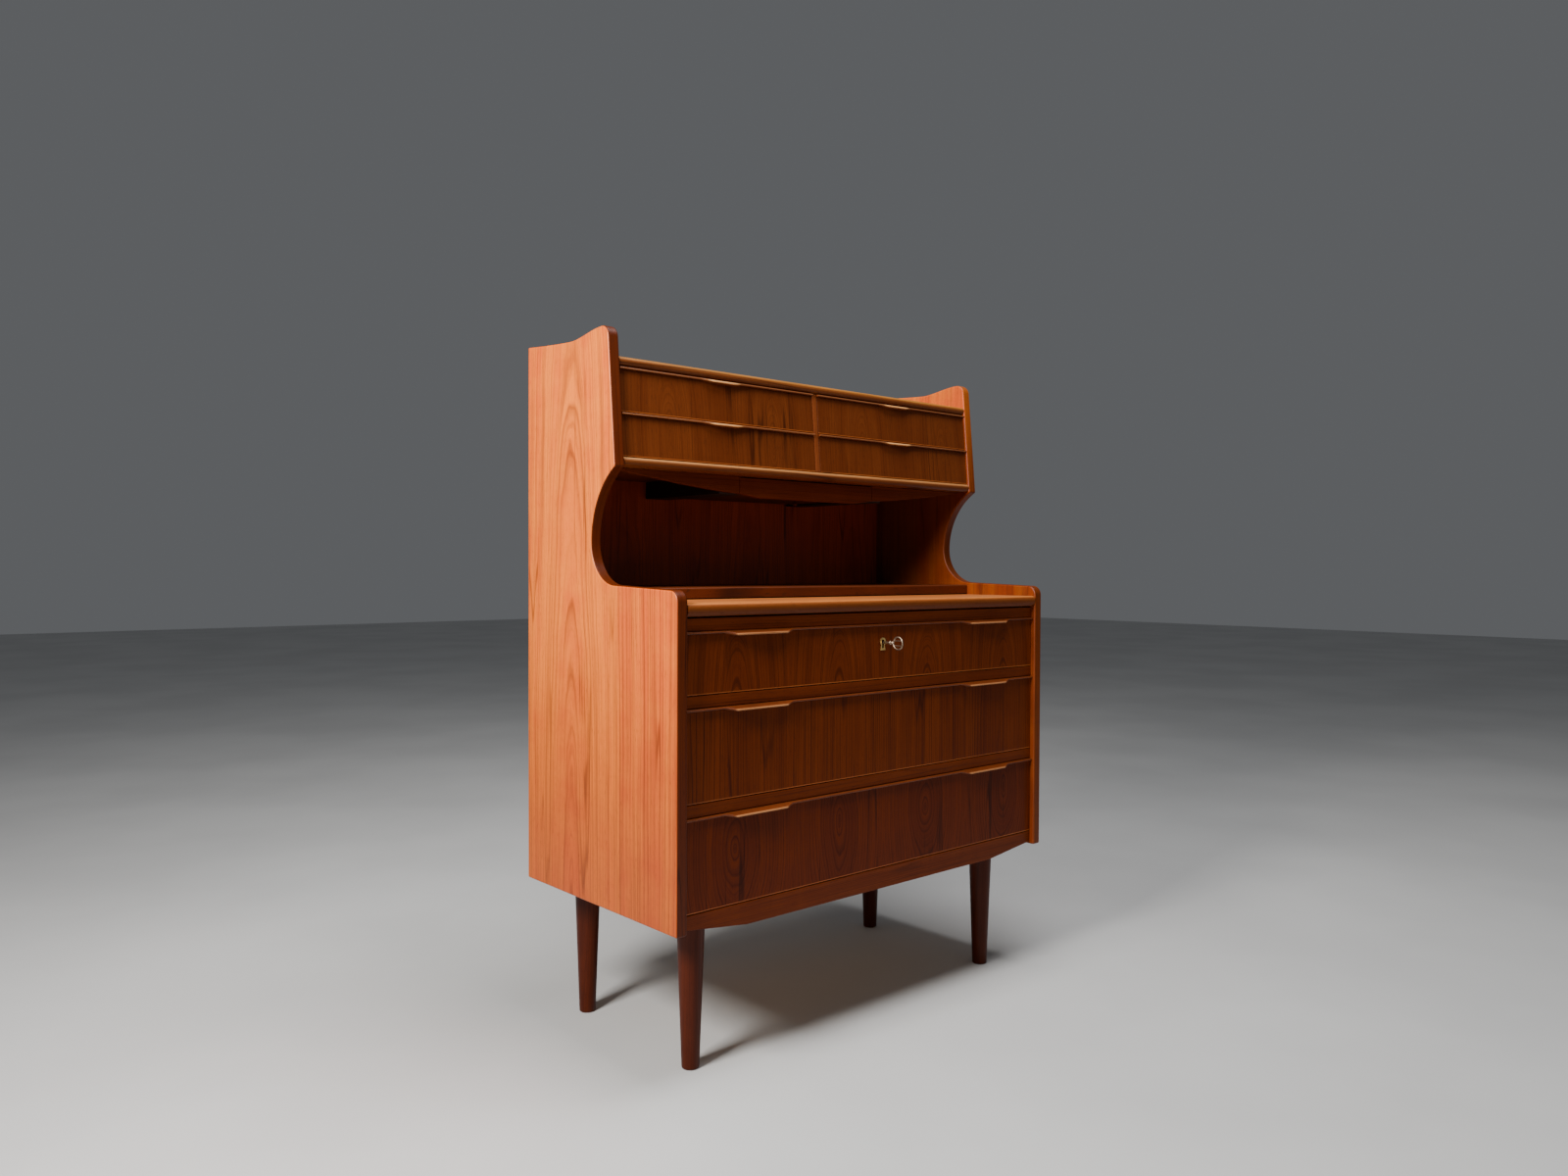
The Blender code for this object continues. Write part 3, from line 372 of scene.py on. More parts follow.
def plain_wood(name, along_axis, light, dark, roughness=0.6):
    """Pale hardwood or plywood with straight, quiet grain."""
    material, g, shader = new_material(name)
    place = g.add("ShaderNodeTexCoord", out="Object")
    parts = g.tree.nodes.new("ShaderNodeSeparateXYZ")
    g.tree.links.new(place, parts.inputs[0])
    stretch = {axis: (6.0 if axis == along_axis else 260.0) for axis in "XYZ"}
    wide = {axis: (1.2 if axis == along_axis else 22.0) for axis in "XYZ"}
    fine_at = g.vector(*(g.math("MULTIPLY", parts.outputs[axis], stretch[axis]) for axis in "XYZ"))
    wide_at = g.vector(*(g.math("MULTIPLY", parts.outputs[axis], wide[axis]) for axis in "XYZ"))
    fine = g.noise(fine_at, 1.0, 3.0, 0.6)
    broad = g.noise(wide_at, 1.0, 2.0)
    share = g.math("ADD", g.math("MULTIPLY", fine, 0.55), g.math("MULTIPLY", broad, 0.45))
    g.tree.links.new(g.mix(g.span(share, 0.35, 0.65), light, dark), shader.inputs["Base Color"])
    rough = g.span(fine, 0.2, 0.8, roughness - 0.06, roughness + 0.08)
    g.tree.links.new(rough, shader.inputs["Roughness"])
    bump = g.add("ShaderNodeBump", {"Height": fine, "Strength": 0.25, "Distance": 0.00015})
    g.tree.links.new(bump, shader.inputs["Normal"])
    return material


# ---------------------------------------------------------------- metal and floor
def worn_metal(name, bright, dull, roughness):
    """Plated or brass hardware with soft tarnish and fine scratches."""
    material, g, shader = new_material(name)
    place = g.add("ShaderNodeTexCoord", out="Object")
    cloud = g.noise(place, 260.0, 4.0, 0.6)
    scratch_at = g.add("ShaderNodeMapping", {"Vector": place, "Scale": (3200.0, 240.0, 900.0)})
    scratch = g.noise(scratch_at, 1.0, 2.0)
    g.tree.links.new(g.mix(g.span(cloud, 0.40, 0.66), bright, dull), shader.inputs["Base Color"])
    tarnish = g.span(cloud, 0.35, 0.7, roughness, roughness + 0.18)
    rough = g.math("MULTIPLY_ADD", scratch, 0.08, tarnish)
    g.tree.links.new(rough, shader.inputs["Roughness"])
    bump = g.add("ShaderNodeBump", {"Height": scratch, "Strength": 0.15, "Distance": 0.00005})
    g.tree.links.new(bump, shader.inputs["Normal"])
    shader.inputs["Metallic"].default_value = 1.0
    return material


def floor_material():
    material, g, shader = new_material("pale_floor")
    place = g.add("ShaderNodeTexCoord", out="Object")
    cloud = g.noise(place, 1.4, 4.0)
    colour = g.mix(g.span(cloud, 0.3, 0.7), FLOOR_LIGHT, FLOOR_DARK)
    g.tree.links.new(colour, shader.inputs["Base Color"])
    shader.inputs["Roughness"].default_value = 0.75
    return material


# ---------------------------------------------------------------- colours
def tinted(colours, red, green, blue):
    return tuple((colour[0] * red, colour[1] * green, colour[2] * blue) for colour in colours)


# Light, middle and dark wood, and the near black of its veins and pores
SIDE_COLOURS = (
    (0.850, 0.195, 0.0150), (0.700, 0.110, 0.0125), (0.220, 0.038, 0.0080), (0.080, 0.011, 0.0030),
)
FRONT_COLOURS = (
    (0.178, 0.0310, 0.0026), (0.140, 0.0226, 0.0019), (0.050, 0.0064, 0.0006), (0.018, 0.0024, 0.0004),
)
SMALL_COLOURS = (
    (0.158, 0.036, 0.0070), (0.128, 0.0265, 0.0050), (0.054, 0.0095, 0.0018), (0.022, 0.0038, 0.0010),
)
LEAF_COLOURS = (
    (0.510, 0.165, 0.036), (0.420, 0.115, 0.021), (0.240, 0.052, 0.009), (0.090, 0.020, 0.004),
)
RIM_COLOURS = tinted(FRONT_COLOURS, 0.64, 0.58, 0.56)
# The right side's rim is a much lighter copy of the fronts' colours than the left's: painted light.
PAINTED_LIGHT_RIM_COLOURS = tinted(FRONT_COLOURS, 2.40, 3.20, 3.00)
DIVIDER_COLOURS = tinted(SMALL_COLOURS, 1.60, 1.70, 1.90)
BOARD_COLOURS = tinted(SMALL_COLOURS, 1.30, 1.60, 1.90)
# The rail under the leaf is a lighter copy of the rails' colours: painted light against the shade of the
# leaf's lip.
PAINTED_LIGHT_TOP_RAIL_COLOURS = tinted(FRONT_COLOURS, 1.30, 1.30, 1.40)
LIP_COLOURS = tinted(FRONT_COLOURS, 0.95, 1.15, 2.20)
SHELF_COLOURS = tinted(FRONT_COLOURS, 0.75, 0.78, 0.60)
NICHE_COLOURS = tinted(FRONT_COLOURS, 2.70, 2.20, 1.20)
LEG_COLOURS = tinted(FRONT_COLOURS, 0.47, 0.41, 0.64)
# The lowest drawer's front is a darker copy of the fronts' colours: painted shade.
SHADED_LOW_FRONT_COLOURS = tinted(FRONT_COLOURS, 0.82, 0.68, 0.46)
LEAF_LIP_COLOURS = tinted(FRONT_COLOURS, 0.72, 0.60, 0.42)
FOOT_LINE_COLOURS = tinted(LEAF_COLOURS, 0.80, 0.66, 0.45)

# Pale colours for painted highlights, with real wear on the pulls, and plain woods, light and dark
WIDE_WEAR_AND_HIGHLIGHT_COLOURS = ((0.560, 0.230, 0.082), (0.360, 0.130, 0.040))
SMALL_WEAR_AND_HIGHLIGHT_COLOURS = ((0.900, 0.460, 0.170), (0.620, 0.230, 0.060))
BANK_TOP_HIGHLIGHT_COLOURS = ((0.420, 0.160, 0.022), (0.270, 0.095, 0.012))
BANK_FLOOR_HIGHLIGHT_COLOURS = ((0.440, 0.190, 0.062), (0.280, 0.110, 0.032))
BOX_COLOURS = ((0.50, 0.31, 0.155), (0.40, 0.22, 0.10))
PANEL_COLOURS = ((0.46, 0.28, 0.14), (0.36, 0.20, 0.095))
TRAY_COLOURS = ((0.105, 0.026, 0.006), (0.066, 0.015, 0.003))
NEAR_BLACK_COLOURS = ((0.020, 0.012, 0.009), (0.010, 0.006, 0.005))

# Metals, bright and dull, and the floor, light and dark
BRASS_COLOURS = ((0.96, 0.68, 0.25), (0.72, 0.46, 0.15))
NICKEL_COLOURS = ((0.42, 0.31, 0.22), (0.16, 0.11, 0.07))
FLOOR_LIGHT, FLOOR_DARK = (0.60, 0.60, 0.595), (0.54, 0.54, 0.537)

LEAF_WIDE = 0.223  # width of the veneer leaves on the wide drawers
ARCH_X = 0.118  # across the desk, the middle of one of them
ARCH_Y = CASE_FRONT + 0.2985  # and of the figure on the sides

PLAIN = {"leaf": 3.0, "centre": -1.0}  # straight grain, cut far from the log's heart
EDGE_GRAIN = {"taper": 0.006, "ring": 0.0030, **PLAIN}  # solid wood's fine, straight rings
THIN_GRAIN = {"taper": 0.004, "ring": 0.0026, "sheen": 0.18, **PLAIN}
RAIL_GRAIN = {"contrast": 0.9, "veins": 0.3, "sheen": 0.12, **EDGE_GRAIN}
FRONT_FIGURE = {"centre": ARCH_X, "leaf": LEAF_WIDE, "ring": 0.0060, "sheen": 0.12}

# Painted shade: full below the first height, gone above the second, and its tint. The outer sides
# darken towards the floor, the sides' inner faces below the top board, and the right side's rim low down
SIDE_PAINTED_SHADE = (0.25, 0.72, (0.66, 0.56, 0.40))
INNER_PAINTED_SHADE = (1.09, 1.14, (0.33, 0.29, 0.14))
RIM_PAINTED_SHADE = (0.90, 1.17, (0.50, 0.42, 0.40))
SIDE_FIGURE = {
    "leaf": 0.90, "centre": ARCH_Y, "taper": 0.070, "ring": 0.0095, "wander": 0.024, "swell": 0.014,
    "contrast": 0.95, "veins": 0.60, "faded": SIDE_PAINTED_SHADE,
}

side_veneer = {
    "side_left": teak("teak_side_left", "YZX", SIDE_COLOURS, start=0.0635, seed=2.3, **SIDE_FIGURE),
    "side_right": teak("teak_side_right", "YZX", SIDE_COLOURS, start=-0.0715, seed=5.1, **SIDE_FIGURE),
}
inner_veneer = teak(
    "teak_inner_sides", "YZX", SIDE_COLOURS, taper=0.02, seed=4.4, contrast=0.7, veins=0.4,
    faded=INNER_PAINTED_SHADE, **PLAIN,
)
side_rim = {
    "side_left": teak("teak_rim_side_left", "XZY", RIM_COLOURS, seed=1.2, **THIN_GRAIN),
    "side_right": teak(
        "teak_rim_side_right", "XZY", PAINTED_LIGHT_RIM_COLOURS, seed=1.2, faded=RIM_PAINTED_SHADE, **THIN_GRAIN,
    ),
}
divider_teak = teak("teak_divider", "XZY", DIVIDER_COLOURS, seed=1.7, **THIN_GRAIN)
front_veneer = {
    "drawer_top": teak(
        "teak_drawer_top", "XZY", FRONT_COLOURS, taper=0.26, start=-0.117, seed=3.7, veins=0.3,
        **FRONT_FIGURE,
    ),
    "drawer_middle": teak(
        "teak_drawer_middle", "XZY", FRONT_COLOURS, centre=-1.2, leaf=6.0, taper=0.02, seed=6.4,
        ring=0.0052, contrast=1.15, sheen=0.12,
    ),
    "drawer_bottom": teak(
        "teak_drawer_bottom", "XZY", SHADED_LOW_FRONT_COLOURS, taper=0.40, start=-0.115, seed=8.9, swell=0.034,
        wander=0.022, **FRONT_FIGURE,
    ),
    "small_drawers": teak(
        "teak_small_drawers", "XZY", SMALL_COLOURS, centre=-0.104, leaf=0.228, taper=0.22, start=-0.217,
        seed=4.6, ring=0.0062, contrast=0.60, veins=0.70, wander=0.024, sheen=0.12,
    ),
}
board_teak = {
    name: teak(
        "teak_" + name, "ZXY", BOARD_COLOURS, seed=7.7, roughness=0.34, sheen=0.15, highlight_and_wear=highlight_and_wear,
        **EDGE_GRAIN,
    )
    for name, highlight_and_wear in (("bank_floor", BANK_FLOOR_HIGHLIGHT_COLOURS), ("bank_top", BANK_TOP_HIGHLIGHT_COLOURS))
}
top_rail_teak = teak("teak_top_rail", "ZXY", PAINTED_LIGHT_TOP_RAIL_COLOURS, seed=2.1, **RAIL_GRAIN)
rail_teak = teak("teak_rails", "ZXY", FRONT_COLOURS, seed=1.9, **RAIL_GRAIN)
wide_lip_teak, small_lip_teak = (
    teak(
        f"teak_{size}_lips", "ZXY", LIP_COLOURS, taper=0.005, ring=0.0028, seed=2.8, roughness=0.36,
        contrast=0.6, veins=0.2, highlight_and_wear=highlight_and_wear, **PLAIN,
    )
    for size, highlight_and_wear in (("wide", WIDE_WEAR_AND_HIGHLIGHT_COLOURS), ("small", SMALL_WEAR_AND_HIGHLIGHT_COLOURS))
)
shelf_teak = teak("teak_niche_floor", "YXZ", SHELF_COLOURS, taper=0.02, seed=3.3, contrast=0.8, **PLAIN)
leaf_veneer = teak("teak_leaf", "YXZ", LEAF_COLOURS, taper=0.02, seed=9.3, contrast=0.7, **PLAIN)
niche_veneer = teak(
    "teak_niche", "XZY", NICHE_COLOURS, centre=0.05, leaf=0.30, taper=0.03, start=0.0, seed=5.8,
)
leg_teak = teak(
    "teak_legs", "XZY", LEG_COLOURS, seed=6.1, into=1.0, contrast=0.6, veins=0.3, sheen=0.15,
    **EDGE_GRAIN,
)
leaf_lip_teak = teak(
    "teak_leaf_lip", "ZXY", LEAF_LIP_COLOURS, taper=0.006, seed=9.3, contrast=0.8, sheen=0.14,
    highlight_and_wear=LEAF_COLOURS[:2], **PLAIN,
)
foot_line = teak("teak_lower_edges", "ZXY", FOOT_LINE_COLOURS, seed=8.1, contrast=0.5, **PLAIN)
box_wood = plain_wood("box_wood", "Y", *BOX_COLOURS)
panel_wood = plain_wood("panel_wood", "X", *PANEL_COLOURS, roughness=0.66)
tray_wood = plain_wood("tray_wood", "Y", *TRAY_COLOURS)
dark_stain = plain_wood("dark_stain", "Y", *NEAR_BLACK_COLOURS)
brass = worn_metal("aged_brass", *BRASS_COLOURS, roughness=0.34)
nickel = worn_metal("worn_nickel", *NICKEL_COLOURS, roughness=0.32)


# ---------------------------------------------------------------- mesh helpers
def new_piece(name, shape, materials, body, slot_name, *replaced):
    """Makes a piece from a bmesh in world coordinates.

    It rides on body and stands for the CAD nodes named. Without a body it is only an object."""
    bmesh.ops.recalc_face_normals(shape, faces=shape.faces)
    mesh = bpy.data.meshes.new(name)
    shape.to_mesh(mesh)
    shape.free()
    for material in materials if isinstance(materials, (list, tuple)) else [materials]:
        mesh.materials.append(material)
    piece = bpy.data.objects.new(name, mesh)
    bpy.context.scene.collection.objects.link(piece)
    if body:
        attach(piece, body)
        if replaced:
            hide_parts(*replaced)
    return piece


def smooth(piece, degrees=32.0):
    piece.data.shade_smooth()
    piece.data.set_sharp_from_angle(angle=math.radians(degrees))
    return piece


def set_wear_and_highlight(piece, values):
    """How pale the wood is painted at each vertex, 0 to 1: painted highlight, with real wear on the pulls.
    """
    piece.data.attributes.new("wear_and_highlight", "FLOAT", "POINT").data.foreach_set("value", values)


def rounded(piece, width, segments=3, degrees=40.0):
    """Rounds a piece's edges with a modifier that keeps its flat faces flat."""
    bevel = piece.modifiers.new("rounded", "BEVEL")
    bevel.width = width
    bevel.segments = segments
    bevel.limit_method = "ANGLE"
    bevel.angle_limit = math.radians(degrees)
    bevel.harden_normals = True


def loft(loops, join_ends=False):
    """A bmesh through loops of points, capped at both ends or joined round."""
    shape = bmesh.new()
    rings = [[shape.verts.new(point) for point in loop] for loop in loops]
    pairs = list(zip(rings, rings[1:]))
    if join_ends:
        pairs.append((rings[-1], rings[0]))
    else:
        shape.faces.new(rings[0])
        shape.faces.new(rings[-1])
    for first, second in pairs:
        for i in range(len(first)):
            j = (i + 1) % len(first)
            shape.faces.new((first[i], first[j], second[j], second[i]))
    return shape


def arc(centre, radius, start, end, parts):
    """Points of an arc between two angles in degrees."""
    points = []
    for i in range(parts + 1):
        angle = math.radians(start + (end - start) * i / parts)
        points.append((centre[0] + radius * math.cos(angle), centre[1] + radius * math.sin(angle)))
    return points


def steps(count):
    """Shares of a way, from the first step to the last."""
    return [i / count for i in range(1, count + 1)]


def angles(count):
    """Angles in radians, evenly round a circle."""
    return [2 * math.pi * i / count for i in range(count)]


def ease(share):
    share = min(max(share, 0.0), 1.0)
    return share * share * (3 - 2 * share)


def drawn_out(outline, x_low, x_high):
    """A bmesh with the same outline of (y, z) points all along X."""
    return loft([[(x, y, z) for y, z in outline] for x in (x_low, x_high)])


def block(x, y, z):
    """A box between two places along each axis."""
    return drawn_out([(y[0], z[0]), (y[1], z[0]), (y[1], z[1]), (y[0], z[1])], *x)


def turned(profile, centre, axis="Z", corners=64):
    """A turned solid about a line along Z or Y, from (radius, place along the line) pairs."""
    loops = []
    for radius, place in profile:
        ring = arc(centre, radius, 0, 360 * (corners - 1) / corners, corners - 1)
        loops.append([(a, b, place) if axis == "Z" else (a, place, b) for a, b in ring])
    return loft(loops)


def finish_node(name, material, edge=RAIL_EDGE):
    """Keeps a CAD node, with a better material and softened edges."""
    node = NODES[name]
    node.data.materials.clear()
    node.data.materials.append(material)
    weld = node.modifiers.new("weld", "WELD")
    weld.merge_threshold = WELD_NEAR
    flat = node.modifiers.new("flat_faces", "DECIMATE")
    flat.decimate_type = "DISSOLVE"
    flat.angle_limit = FLAT_BELOW
    bevel = node.modifiers.new("soft_edges", "BEVEL")
    bevel.width, bevel.segments = edge
    bevel.limit_method = "ANGLE"
    bevel.angle_limit = EDGE_ABOVE


# ---------------------------------------------------------------- sides
def bank_front(z):
    return BANK_CORNER[0] + BANK_LEAN * (z - BANK_CORNER[1])


def side_outline():
    """Outline of a side as (depth, height), from its lower front corner up and round."""
    outline = [(0.0, SIDE_LOW_Z)]
    outline += arc((SHOULDER_R, SHOULDER_Z - SHOULDER_R), SHOULDER_R, 180, 90, 12)
    heart = (SCOOP_DEEP - SCOOP_R, SCOOP_Z + SCOOP_R)
    # The shelf beside the leaf rises a little towards the scoop.
    outline += arc(heart, SCOOP_R, 270, 360, 24)
    back, rise = SCOOP_DEEP - BANK_CORNER[0], BANK_CORNER[1] - heart[1]
    radius = (back**2 + rise**2) / (2 * back)
    sweep = math.degrees(math.asin(rise / radius))
    outline += arc((SCOOP_DEEP - radius, heart[1]), radius, 0, sweep, 24)[1:]
    lean = math.degrees(math.atan(BANK_LEAN))
    horn_z = HORN_Z - HORN_R
    touch_z = horn_z + HORN_R * math.sin(math.radians(lean))
    horn = bank_front(touch_z) + HORN_R * math.cos(math.radians(lean))
    outline += arc((horn, horn_z), HORN_R, 180 - lean, 90, 14)
    dip, dip_z = DIP
    for share in steps(24):
        outline.append((horn + (dip - horn) * share, HORN_Z + (dip_z - HORN_Z) * ease(share)))
    for share in steps(12):
        outline.append((dip + (CASE_DEEP - dip) * share, dip_z + (BACK_TOP_Z - dip_z) * share**DIP_HOLLOW))
    outline.append((CASE_DEEP, SIDE_LOW_Z))
    return outline


def make_sides():
    for name in ("side_left", "side_right"):
        low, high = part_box(name)
        shape = drawn_out([(CASE_FRONT + y, z) for y, z in side_outline()], low.x, high.x)
        materials = [side_veneer[name], side_rim[name], inner_veneer]
        side = new_piece(name + "_veneered", shape, materials, "carcass", "case_teak", name)
        for face in side.data.polygons:
            outwards = face.normal.x * (1 if name == "side_right" else -1)
            face.material_index = 0 if outwards > 0.5 else 2 if outwards < -0.5 else 1
        rounded(smooth(side), SIDE_ROUND, 4)


# ---------------------------------------------------------------- boards
def make_bank_boards():
    for name in ("bank_floor", "bank_top"):
        low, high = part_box(name)
        radius = (high.z - low.z) / 2
        nose = arc((low.y + radius, low.z + radius), radius, 270, 90, 28)
        outline = nose + [(high.y, high.z), (high.y, low.z)]
        shape = drawn_out(outline, low.x, high.x)
        board = new_piece(name + "_nosed", shape, board_teak[name], "carcass", "edge_teak", name)
        smooth(board)
        # Painted highlight: the upper half of each nose is paler.
        wear_and_highlight = [ease((z - low.z - radius) / radius) for y, z in outline]
        set_wear_and_highlight(board, wear_and_highlight + wear_and_highlight)


def leaf_lip_highlight(z, low, high):
    """The leaf's lip is painted pale along its top, and less pale towards its lower edge: painted
    highlight and painted shade.
    """
    top_highlight = ease((z - high + LEAF_HIGHLIGHT_HIGH) / LEAF_HIGHLIGHT_HIGH)
    return 0.20 + 0.20 * (z - low) / (high - low) + 0.60 * top_highlight


def make_leaf():
    low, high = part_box("leaf_lip")
    outline = arc((low.y + LEAF_NOSE_R, high.z - LEAF_NOSE_R), LEAF_NOSE_R, 90, 180, 16)
    outline += [(low.y, low.z + LEAF_BEND_Z), (low.y + LEAF_SLOPE_IN, low.z + LEAF_SLOPE_Z)]
    outline += arc((low.y + LEAF_FOOT_BACK, low.z + LEAF_FOOT_R), LEAF_FOOT_R, 200, 270, 6)
    outline += [(high.y, low.z), (high.y, high.z)]
    shape = drawn_out(outline, low.x, high.x)
    lip = new_piece("leaf_lip_rounded", shape, leaf_lip_teak, "writing_leaf", "edge_teak", "leaf_lip")
    # Painted highlight along the lip's top, and painted shade towards its foot.
    wear_and_highlight = [leaf_lip_highlight(z, low.z, high.z) for y, z in outline]
    set_wear_and_highlight(lip, wear_and_highlight + wear_and_highlight)
    smooth(lip)
    finish_node("leaf_panel", leaf_veneer, PANEL_EDGE)


def make_rails():
    finish_node("rail_top", top_rail_teak)
    for name in ("rail_middle", "rail_lower", "bottom_apron"):
        finish_node(name, rail_teak)
    finish_node("bank_divider", divider_teak, DIVIDER_EDGE)
    finish_node("niche_floor", shelf_teak, SHELF_EDGE)


def make_niche_back():
    """The niche's back is veneered in front and bare plywood behind."""
    low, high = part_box("back_upper")
    shape = block((low.x, high.x), (low.y, high.y), (low.z, high.z))
    materials = [niche_veneer, panel_wood]
    back = new_piece("back_upper_faced", shape, materials, "carcass", "niche_teak", "back_upper")
    for face in back.data.polygons:
        face.material_index = 1 if face.normal.y > 0.5 else 0


def make_inside():
    """Panels, shelves and runners."""
    for name in ("back_lower", "bottom_panel", "bank_shelf_left", "bank_shelf_right"):
        finish_node(name, panel_wood, BOARD_EDGE)
    for name in ("leaf_runner", "top_drawer_runner", "middle_drawer_runner"):
        for side in ("left", "right"):
            finish_node(f"{name}_{side}", box_wood)
    for side in ("left", "right"):
        # The tray's runners are near black.
        finish_node("tray_runner_" + side, dark_stain, BOARD_EDGE)
        finish_node("bank_apron_" + side, rail_teak)


def leg_profile(top_r, high_z):
    """A leg as (radius, height): a rounded foot, a straight taper and a tenon."""
    profile = [(LEG_SLIM_R - inset, z) for inset, z in LEG_FOOT]
    foot_z, top_z = profile[-1][1], high_z - LEG_TENON_HIGH
    for share in steps(8):
        radius = LEG_SLIM_R + (top_r - LEG_SLIM_R) * share
        profile.append((radius, foot_z + (top_z - foot_z) * share))
    return profile + [(LEG_TENON_R, top_z), (LEG_TENON_R, high_z)]


def make_legs():
    for place in ("front", "back"):
        for side in ("left", "right"):
            name = f"leg_{place}_{side}"
            low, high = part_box(name)
            centre = ((low.x + high.x) / 2, (low.y + high.y) / 2)
            profile = leg_profile((high.x - low.x) / 2, high.z)
            shape = turned(profile, centre)
            smooth(new_piece(name + "_turned", shape, leg_teak, "carcass", "leg_teak", name), 40.0)


# ---------------------------------------------------------------- drawer fronts
def wing_share(x, pulls_x, wing):
    """How far the lip stands out at x: 0 along the plain lip, 1 along a pull."""
    share = 0.0
    for at in pulls_x:
        along = min(max((wing.half + wing.ramp - abs(x - at)) / wing.ramp, 0.0), 1.0)
        share = max(share, along**2 * (wing.steep - (wing.steep - 1) * along))
    return share


def lip_stations(x_low, x_high, pulls_x, wing):
    """Places along the lip, close together where it curves."""
    stations = {x_low, x_high}
    for at in pulls_x:
        for side in (-1, 1):
            stations.add(at + side * wing.half)
            stations.update(at + side * (wing.half + wing.ramp * share) for share in steps(16))
        stations.update(at + wing.half * (2 * share - 1) for share in steps(6)[:-1])
    return sorted(round(station, 6) for station in stations)


def lip_section(share, wing, thick):
    """Outline of the lip as (y from the face, z from the top).

    It is a slim strip with a round nose. A pull slopes down to its nose and is hollow underneath."""
    reach = -LIP_PROUD - wing.proud * share
    radius = LIP_THICK / 2 - LIP_SLIM
    centre = (reach + radius, -LIP_THICK / 2 - wing.drop * share)
    points = [(thick, 0.0), (-LIP_PROUD * LIP_FLAT, 0.0)]
    points += arc(centre, radius, 100 - 30 * share, 280, 12)
    nose_low, root = centre[1] - radius, -LIP_THICK - wing.root * share
    for part in (0.25, 0.5, 0.72, 0.88):
        hollow = PULL_HOLLOW * share * math.sin(math.pi * part)
        points.append((centre[0] * (1 - part), nose_low + (root - nose_low) * part + hollow))
    points += [(0.0, root), (LIP_STEP, -LIP_THICK), (thick, -LIP_THICK)]
    return points


def lip_wear_and_highlight(out, wing):
    """How pale the lip is at a distance out from the front: a painted highlight along its nose, strongest
    on the pulls' noses, which hands also wear.
    """
    plain = wing.plain * min(max(out, 0.0) / LIP_PROUD, 1.0) ** 4
    return max(plain, (max(out - LIP_PROUD, 0.0) / wing.proud) ** wing.highlight_focus)


def make_lip(name, pulls_x, wing, thick, lean, material):
    """The solid lip along a front's top edge, with its pulls."""
    node = name + "_front"
    low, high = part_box(node)
    face_y = high.y - thick - lean * (high.z - low.z)
    loops, wear_and_highlight = [], []
    for x in lip_stations(low.x, high.x, pulls_x, wing):
        section = lip_section(wing_share(x, pulls_x, wing), wing, thick)
        loops.append([(x, face_y + y + lean * (high.z + z - low.z), high.z + z) for y, z in section])
        # Painted highlight along the lip's nose, with real wear on the pulls.
        wear_and_highlight += [lip_wear_and_highlight(-y, wing) for y, z in section]
    lip = new_piece(name + "_lip", loft(loops), material, name, "front_teak", node)
    set_wear_and_highlight(lip, wear_and_highlight)
    smooth(lip, 50.0)


def make_face(name, thick, lean, material):
    """A drawer's veneered front, up to its lip, with a pale line along its foot."""
    node = name + "_front"
    low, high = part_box(node)
    face_y = high.y - thick - lean * (high.z - low.z)
    top = high.z - LIP_THICK - TINY
    outline = []
    for y, z in ((0.0, low.z), (thick, low.z), (thick, top), (0.0, top), (0.0, low.z + FOOT_LINE)):
        outline.append((face_y + y + lean * (z - low.z), z))
    shape = drawn_out(outline, low.x, high.x)
    front = new_piece(name + "_face", shape, [material, foot_line], name, "front_teak", node)
    for face in front.data.polygons:
        face.material_index = 1 if face.center.z < low.z + FOOT_LINE else 0
    return front


def make_drawers():
    for name in WIDE_DRAWERS:
        make_lip(name, WIDE_PULLS_X, WIDE_WING, FRONT_THICK, 0.0, wide_lip_teak)
        front = make_face(name, FRONT_THICK, 0.0, front_veneer[name])
        if name == "drawer_top":
            cut_lock(front)
        rounded(front, FRONT_ROUND, 2)
    for name in SMALL_DRAWERS:
        low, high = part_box(name + "_front")
        pulls_x = ((low.x + high.x) / 2,)
        make_lip(name, pulls_x, SMALL_WING, SMALL_FRONT_THICK, BANK_LEAN, small_lip_teak)
        front = make_face(name, SMALL_FRONT_THICK, BANK_LEAN, front_veneer["small_drawers"])
        rounded(front, FRONT_ROUND, 2)
    for name in WIDE_DRAWERS + SMALL_DRAWERS:
        finish_node(name + "_box", box_wood, BOX_EDGE)
        finish_node(name + "_panel", panel_wood, PANEL_EDGE)


# ---------------------------------------------------------------- lock and key
def keyhole(radius, half, low_z, centre_z, foot_half=None):
    """Outline (x, z) of a keyhole: a round over a slot, which can widen towards its foot."""
    foot_half = foot_half or half
    start = math.degrees(math.asin(half / radius))
    round_part = arc((0.0, centre_z), radius, -90 + start, 270 - start, 40)
    return round_part + [(-foot_half, low_z), (foot_half, low_z)]


def cut(piece, cutter_shape):
    """Cuts a bmesh out of a piece, for good."""
    cutter = new_piece("cutter", cutter_shape, brass, None, None)
    boolean = piece.modifiers.new("cut", "BOOLEAN")
    boolean.operation = "DIFFERENCE"
    boolean.object = cutter
    graph = bpy.context.evaluated_depsgraph_get()
    mesh = bpy.data.meshes.new_from_object(piece.evaluated_get(graph), depsgraph=graph)
    piece.modifiers.remove(boolean)
    piece.data = mesh
    bpy.data.objects.remove(cutter)


